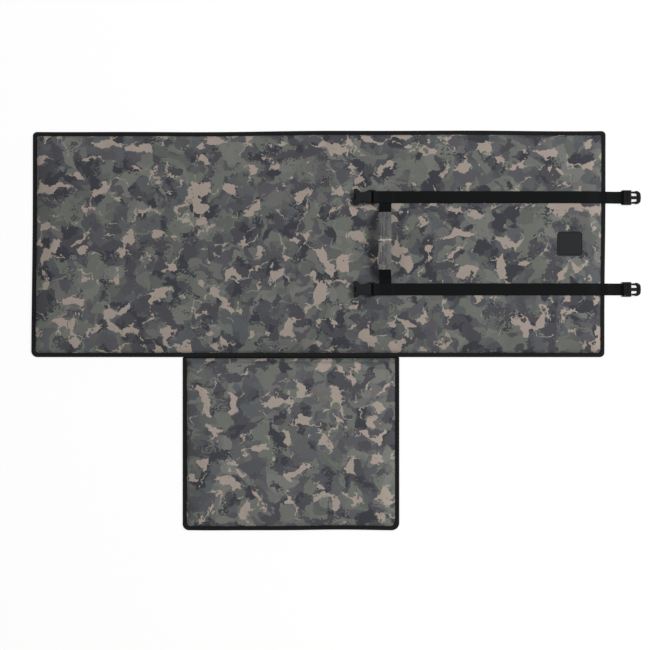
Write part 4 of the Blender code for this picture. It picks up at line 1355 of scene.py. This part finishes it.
def make_patch():
    """The blank moulded patch: a raised rim round a plain sunken face, sewn down inside the rim."""
    low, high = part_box("blank_patch")
    rect, thick = (low.x, high.x, low.y, high.y), high.z - low.z
    rings = []
    for inset, share in PATCH_PROFILE:
        radius = max(PATCH_RADIUS - inset * 0.8, PATCH_LEAST_RADIUS)
        outline = rounded(drawn_in(rect, inset), radius, CORNER_STEPS)
        rings.append([(x, y, low.z + thick * share) for x, y in outline])
    place_piece(loft("plain_patch", rings, PATCH, plan=True), "main_mat", "patch_rubber", "blank_patch")
    outline = rounded(drawn_in(rect, PATCH_SEAM_INSET), PATCH_SEAM_RADIUS, CORNER_STEPS)
    row = [(x, y, low.z + thick * PATCH_SEAM_SHARE) for x, y in outline + outline[:1]]
    sew("patch_seam", [seam_places(row)], "main_mat", "patch_rubber")


# Buckles


def slab(outline, low, high, edge, steps=4):
    """A moulding over an outline, with its upper and lower edges rounded, as rings from below to above."""
    area = sum(a[0] * b[1] - b[0] * a[1] for a, b in zip(outline, outline[1:] + outline[:1]))
    outline = np.asarray(outline if area > 0 else outline[::-1], float)
    headings = np.roll(outline, -1, axis=0) - np.roll(outline, 1, axis=0)
    headings /= np.maximum(np.linalg.norm(headings, axis=1, keepdims=True), 1e-9)
    inward = np.stack([-headings[:, 1], headings[:, 0]], axis=1)
    rings = []
    for end, sign in ((low, 1), (high, -1)):
        part = []
        for turn in np.linspace(0, math.pi / 2, steps + 1):
            level = end + sign * edge * (1 - math.cos(turn))
            part.append([(x, y, level) for x, y in outline + inward * edge * (1 - math.sin(turn))])
        rings += part[::sign]
    return rings


def mirrored(half_outline, y):
    """An outline from its half on one side of a middle line, as x and distance from the line."""
    return [(x, y - away) for x, away in half_outline] + [(x, y + away) for x, away in reversed(half_outline)]


def softened(outline, rounds=2):
    """A closed outline with its corners cut smooth."""
    points = [np.array(point) for point in outline]
    for _ in range(rounds):
        points = [a * (1 - s) + b * s for a, b in zip(points, points[1:] + points[:1]) for s in (0.22, 0.78)]
    return [tuple(point) for point in points]


def cut_away(piece, *cutters):
    """Cuts helpers out of a piece, and clears them away."""
    for cutter in cutters:
        change = piece.modifiers.new("cut", "BOOLEAN")
        change.operation = "DIFFERENCE"
        change.solver = "MANIFOLD"
        change.object = cutter
    rounding = piece.modifiers.new("rounding", "BEVEL")
    rounding.width = MOULDING_ROUNDING
    rounding.segments = 2
    rounding.limit_method = "ANGLE"
    rounding.angle_limit = math.radians(ROUNDED_FROM_DEGREES)
    keep_modified(piece)
    for cutter in cutters:
        bpy.data.objects.remove(cutter, do_unlink=True)
    piece.data.shade_smooth()
    piece.data.set_sharp_from_angle(angle=math.radians(SHARP_FROM_DEGREES))


def join_pieces(piece, *others):
    """Makes one object of a moulding's lumps."""
    mesh = bmesh.new()
    for part in (piece, *others):
        mesh.from_mesh(part.data)
    mesh.to_mesh(piece.data)
    mesh.free()
    for part in others:
        bpy.data.objects.remove(part, do_unlink=True)


def block(outline, low, high):
    """A rounded helper block, used to cut."""
    return loft("helper", slab(outline, low, high, CUT_EDGE, 2), SOCKET, plan=True)


def bar(section, places, finish):
    """A bar that runs from place to place with one section, as x and z."""
    return loft("helper", [[(x + a, y, z + b) for a, b in section] for x, y, z in places], finish)


def strap_bar(x, y, z, finish):
    """The round bar that a strap's loop turns on."""
    reach = STRAP_ROOM_HALF + BAR_SUNK
    return bar(ellipse(BAR_RADIUS, BAR_RADIUS, 20), [(x, y + away, z) for away in (-reach, 0, reach)], finish)


def width_between(along, stops):
    """Half the socket's width between its stops: eased over a large change, straight over a small one."""
    width = float(np.interp(along, *zip(*stops)))
    for (a, before), (b, after) in zip(stops, stops[1:]):
        if a <= along <= b and abs(after - before) > 0.002:
            width = before + (after - before) * float(ease((along - a) / (b - a)))
    return width


def socket_shell(side, y, low, high):
    """The socket's outside: a rounded rear end over the bar, a neck, a waist and a wide mouth."""
    bar_x, bar_z = SOCKET_BAR
    end, reach, mouth_half = high.x - bar_x, bar_x - low.x, (high.y - low.y) / 2
    stops = [
        (-end, SOCKET_END_HALF), (-end + SOCKET_END_ROUND, SOCKET_NECK_HALF),
        (0.20 * reach, SOCKET_NECK_HALF), (0.50 * reach, SOCKET_WAIST_HALF),
        (0.60 * reach, SOCKET_WAIST_HALF), (0.86 * reach, mouth_half),
        (reach - SOCKET_LIP, mouth_half), (reach, mouth_half - SOCKET_LIP),
    ]
    rounded_end = -end * np.cos(np.linspace(0, math.pi / 2, 7))
    rings = []
    for along in [*rounded_end, *np.linspace(0.05, 0.95, 26) * reach, reach - SOCKET_LIP, reach]:
        if along < 0:
            rise = math.sqrt(max(end ** 2 - along ** 2, 0.0000001))
            bottom, top = bar_z - rise, bar_z + rise
        else:
            ramp = float(ease(along / (SOCKET_RAMP_SHARE * reach)))
            bottom, top = low.z, bar_z + end + (high.z - bar_z - end) * ramp
        if along > reach - SOCKET_LIP / 2:
            bottom, top = bottom + SOCKET_LIP_DROP, top - SOCKET_LIP_DROP
        middle, half, width = (bottom + top) / 2, (top - bottom) / 2, width_between(along, stops)
        ring = []
        for direction in ellipse(1, 1, 48):
            across, up = [math.copysign(abs(part) ** SOCKET_SQUARENESS, part) for part in direction]
            ring.append((bar_x - along, y + across * width, middle + up * half))
        rings.append(ring)
    return loft(side + "_socket_shell", rings, SOCKET)


def make_socket(side):
    """A buckle socket: a waisted shell, open at its mouth and sides, with the bar that holds the strap."""
    y = strap_y(side)
    low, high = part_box(side + "_socket")
    bar_x, bar_z = SOCKET_BAR
    shell = socket_shell(side, y, low, high)
    mouth_x = low.x - CUT_PAST
    pocket_rect = (mouth_x, POCKET_END_X, low.y + SOCKET_SIDE_WALL, high.y - SOCKET_SIDE_WALL)
    bulge_x = bar_x - LOOP_RADIUS - LOOP_ROOM
    bulge = [(bulge_x - BULGE_RUN * t * t, y + STRAP_ROOM_HALF * t) for t in np.linspace(1, -1, 13)]
    behind = [(high.x + CUT_OVER, y - STRAP_ROOM_HALF), (high.x + CUT_OVER, y + STRAP_ROOM_HALF)]
    gap = [(x - REAR_GAP_RUN, across) for x, across in bulge] + [(bar_x, across) for x, across in behind]
    notch_rect = (mouth_x, low.x + NOTCH_DEPTH, y - NOTCH_HALF, y + NOTCH_HALF)
    cut_away(
        shell,
        block(rounded(pocket_rect, CUT_RADIUS, 3), low.z + SOCKET_WALL, high.z - SOCKET_WALL),
        block(bulge + behind, low.z - CUT_THROUGH, high.z + CUT_THROUGH),
        block(gap, low.z + REAR_GAP_FLOOR, high.z + CUT_THROUGH),
        block(rounded(notch_rect, NOTCH_RADIUS, 3), high.z - NOTCH_DROP, high.z + CUT_OVER),
    )
    join_pieces(shell, strap_bar(bar_x, y, bar_z, SOCKET))
    place_piece(shell, side + "_buckle_socket", "socket_plastic", side + "_socket")


def plug_body(side, y, low, high, body_x, half):
    """The plug's frame and body, with its slot for the strap cut."""
    rear_x = low.x - FRAME_REAR_REACH
    half_outline = [(rear_x + x, half + away) for x, away in FRAME_REAR_CORNER]
    half_outline += [(body_x + x, half + away) for x, away in BODY_CORNER] + [(body_x, BODY_FRONT_HALF)]
    rings = slab(mirrored(half_outline, y), 0, high.z, PLUG_EDGE, 5)
    body = loft(side + "_plug_body", rings, PLUG, plan=True)
    slot_x = PLUG_BAR_X + LOOP_RADIUS + PLUG_LOOP_ROOM
    slot_rect = (rear_x - CUT_OVER, slot_x, y - STRAP_ROOM_HALF, y + STRAP_ROOM_HALF)
    cut_away(body, block(rounded(slot_rect, CUT_RADIUS, 3), -CUT_OVER, high.z + CUT_OVER))
    return body


def plug_extras(y, high, body_x, half):
    """What is moulded onto the body: the strap's bar, the keeper over it, the grip ribs and the tongue."""
    extras = [strap_bar(PLUG_BAR_X, y, PLUG_BAR_Z, PLUG)]
    keeper = []
    for across in np.linspace(-KEEPER_HALF, KEEPER_HALF, 41):
        drop = KEEPER_DROP * float(ease((abs(across) - KEEPER_BEND_AT) / KEEPER_BEND_RUN))
        keeper.append((PLUG_BAR_X + KEEPER_SHIFT, y + across, high.z + KEEPER_LEVEL - drop))
    extras.append(bar(ellipse(*KEEPER_SECTION, 12), keeper, PLUG))
    reach = half - GRIP_RIB_INSET
    for inset in GRIP_RIBS:
        places = [(body_x - inset, y + across, high.z) for across in np.linspace(-reach, reach, 9)]
        extras.append(bar(ellipse(*GRIP_RIB_SECTION, 10), places, PLUG))
    tip = high.x + TONGUE_PAST
    xs = [body_x + past for past in TONGUE_NECK_FROM] + [tip + past for past in TONGUE_NECK_TO]
    neck = list(zip(xs, (TONGUE_ROOT, TONGUE_NECK, TONGUE_NECK, TONGUE_ROOT)))
    bow = arc((tip - TONGUE_HEAD, 0), TONGUE_HEAD, math.pi / 2 + 0.35, 0, 7)
    tongue = mirrored(neck + bow, y)
    del tongue[len(tongue) // 2]
    rings = slab(tongue, PLUG_BAR_Z - TONGUE_HALF, PLUG_BAR_Z + TONGUE_HALF, TONGUE_EDGE)
    return extras + [loft("helper", rings, PLUG, plan=True)]


def make_prong(side, place, y, sign):
    """A springy side prong, in three layers so that the tongue has a slot to slide in."""
    node = side + "_plug_" + place + "_prong"
    low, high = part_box(node)
    slot_low, slot_high = PLUG_BAR_Z - PRONG_SLOT_HALF, PLUG_BAR_Z + PRONG_SLOT_HALF
    layers = []
    for shares, bottom, top in (
        (PRONG_SLOT_OUTLINE, slot_low - PRONG_SLOT_OVERLAP, slot_high + PRONG_SLOT_OVERLAP),
        (PRONG_OUTLINE, low.z, slot_low),
        (PRONG_OUTLINE, slot_high, high.z),
    ):
        outline = [(low.x + a * (high.x - low.x), y + sign * b * PRONG_SPREAD / 2) for a, b in shares]
        rings = slab(softened(outline), bottom, top, PRONG_EDGE)
        layers.append(loft(side + "_plug_" + place + "_arm_moulding", rings, PLUG, plan=True))
    join_pieces(*layers)
    place_piece(layers[0], side + "_plug_" + place + "_arm", "plug_plastic", node)


def make_plug(side):
    """A buckle plug: its frame and body with all that is moulded onto them, and two springy prongs."""
    y = strap_y(side)
    low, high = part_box(side + "_plug_frame")
    body_x, half = low.x + PLUG_BODY_RUN, (high.y - low.y) / 2
    body = plug_body(side, y, low, high, body_x, half)
    join_pieces(body, *plug_extras(y, high, body_x, half))
    place_piece(body, side + "_buckle_plug", "plug_plastic", side + "_plug_frame")
    outer = 1 if y > 0 else -1
    make_prong(side, "outer", y, outer)
    make_prong(side, "inner", y, -outer)


make_pads()
for pad_prefix, pad_rect, pad_body, _ in PADS:
    make_underside(pad_prefix, pad_rect, pad_body)
make_binding("main", "main_mat", main_run, closed=True)
make_binding("flap", "kneeling_flap", flap_run, closed=False)
make_hinge_tape()
make_handle()
make_sleeve()
make_patch()
for strap_side in SIDES:
    make_strap(strap_side)
    make_socket(strap_side)
    make_plug(strap_side)


# The view and the light


def white_to_view(holder, plain_kind, inputs, share):
    """Mixes pure white, seen only by camera, glossy and transmitted rays, over a plain shader."""
    holder.use_nodes = True
    holder.node_tree.nodes.clear()
    t = Tree(holder.node_tree)
    in_world = isinstance(holder, bpy.types.World)
    plain = t.add(plain_kind, inputs)
    white = t.add("Background" if in_world else "Emission", {"Strength": 1.0})
    rays = t.add("LightPath").outputs
    seen = t.math("MAXIMUM", rays["Is Camera Ray"], rays["Is Glossy Ray"])
    seen = t.math("MAXIMUM", seen, rays["Is Transmission Ray"])
    mix = t.add("MixShader", {"Fac": t.times(seen, share), 1: plain.outputs[0], 2: white.outputs[0]})
    t.add("OutputWorld" if in_world else "OutputMaterial", {"Surface": mix.outputs[0]})


def add_camera():
    """The camera, straight above, as in the photograph."""
    camera = bpy.data.objects.new("camera", bpy.data.cameras.new("camera"))
    scene.collection.objects.link(camera)
    camera.location = VIEW_PLACE
    camera.data.lens = camera.data.sensor_width * (VIEW_PLACE[2] - HEM_TOP) / FRAME_WIDTH
    scene.camera = camera


def add_lamp():
    """A large soft lamp turned to face the mat."""
    lamp = bpy.data.lights.new("right_lamp", "AREA")
    lamp.shape = "DISK"
    lamp.size = LAMP_SIZE
    lamp.energy = LAMP_WATTS
    holder = bpy.data.objects.new("right_lamp", lamp)
    scene.collection.objects.link(holder)
    holder.location = LAMP_PLACE
    holder.rotation_euler = (Vector(LAMP_AIM) - Vector(LAMP_PLACE)).to_track_quat("-Z", "Y").to_euler()


def add_surroundings():
    """A plain bright sky, and a white floor just under the mat."""
    world = bpy.data.worlds.new("plain_surroundings")
    scene.world = world
    white_to_view(world, "Background", {"Color": (1, 1, 1, 1), "Strength": SKY_LEVEL}, 1.0)
    mesh = bpy.data.meshes.new("floor")
    far = FLOOR_HALF
    mesh.from_pydata([(-far, -far, 0), (far, -far, 0), (far, far, 0), (-far, far, 0)], [], [(0, 1, 2, 3)])
    paint = bpy.data.materials.new("white_floor")
    white_to_view(paint, "BsdfDiffuse", {"Color": (1, 1, 1, 1)}, FLOOR_WHITE_SHARE)
    floor = add_object("floor", mesh, paint, smooth=False)
    floor.location.z = -FLOOR_DROP


add_camera()
add_lamp()
add_surroundings()
scene.view_settings.view_transform = "Standard"
scene.frame_start = scene.frame_end = 1
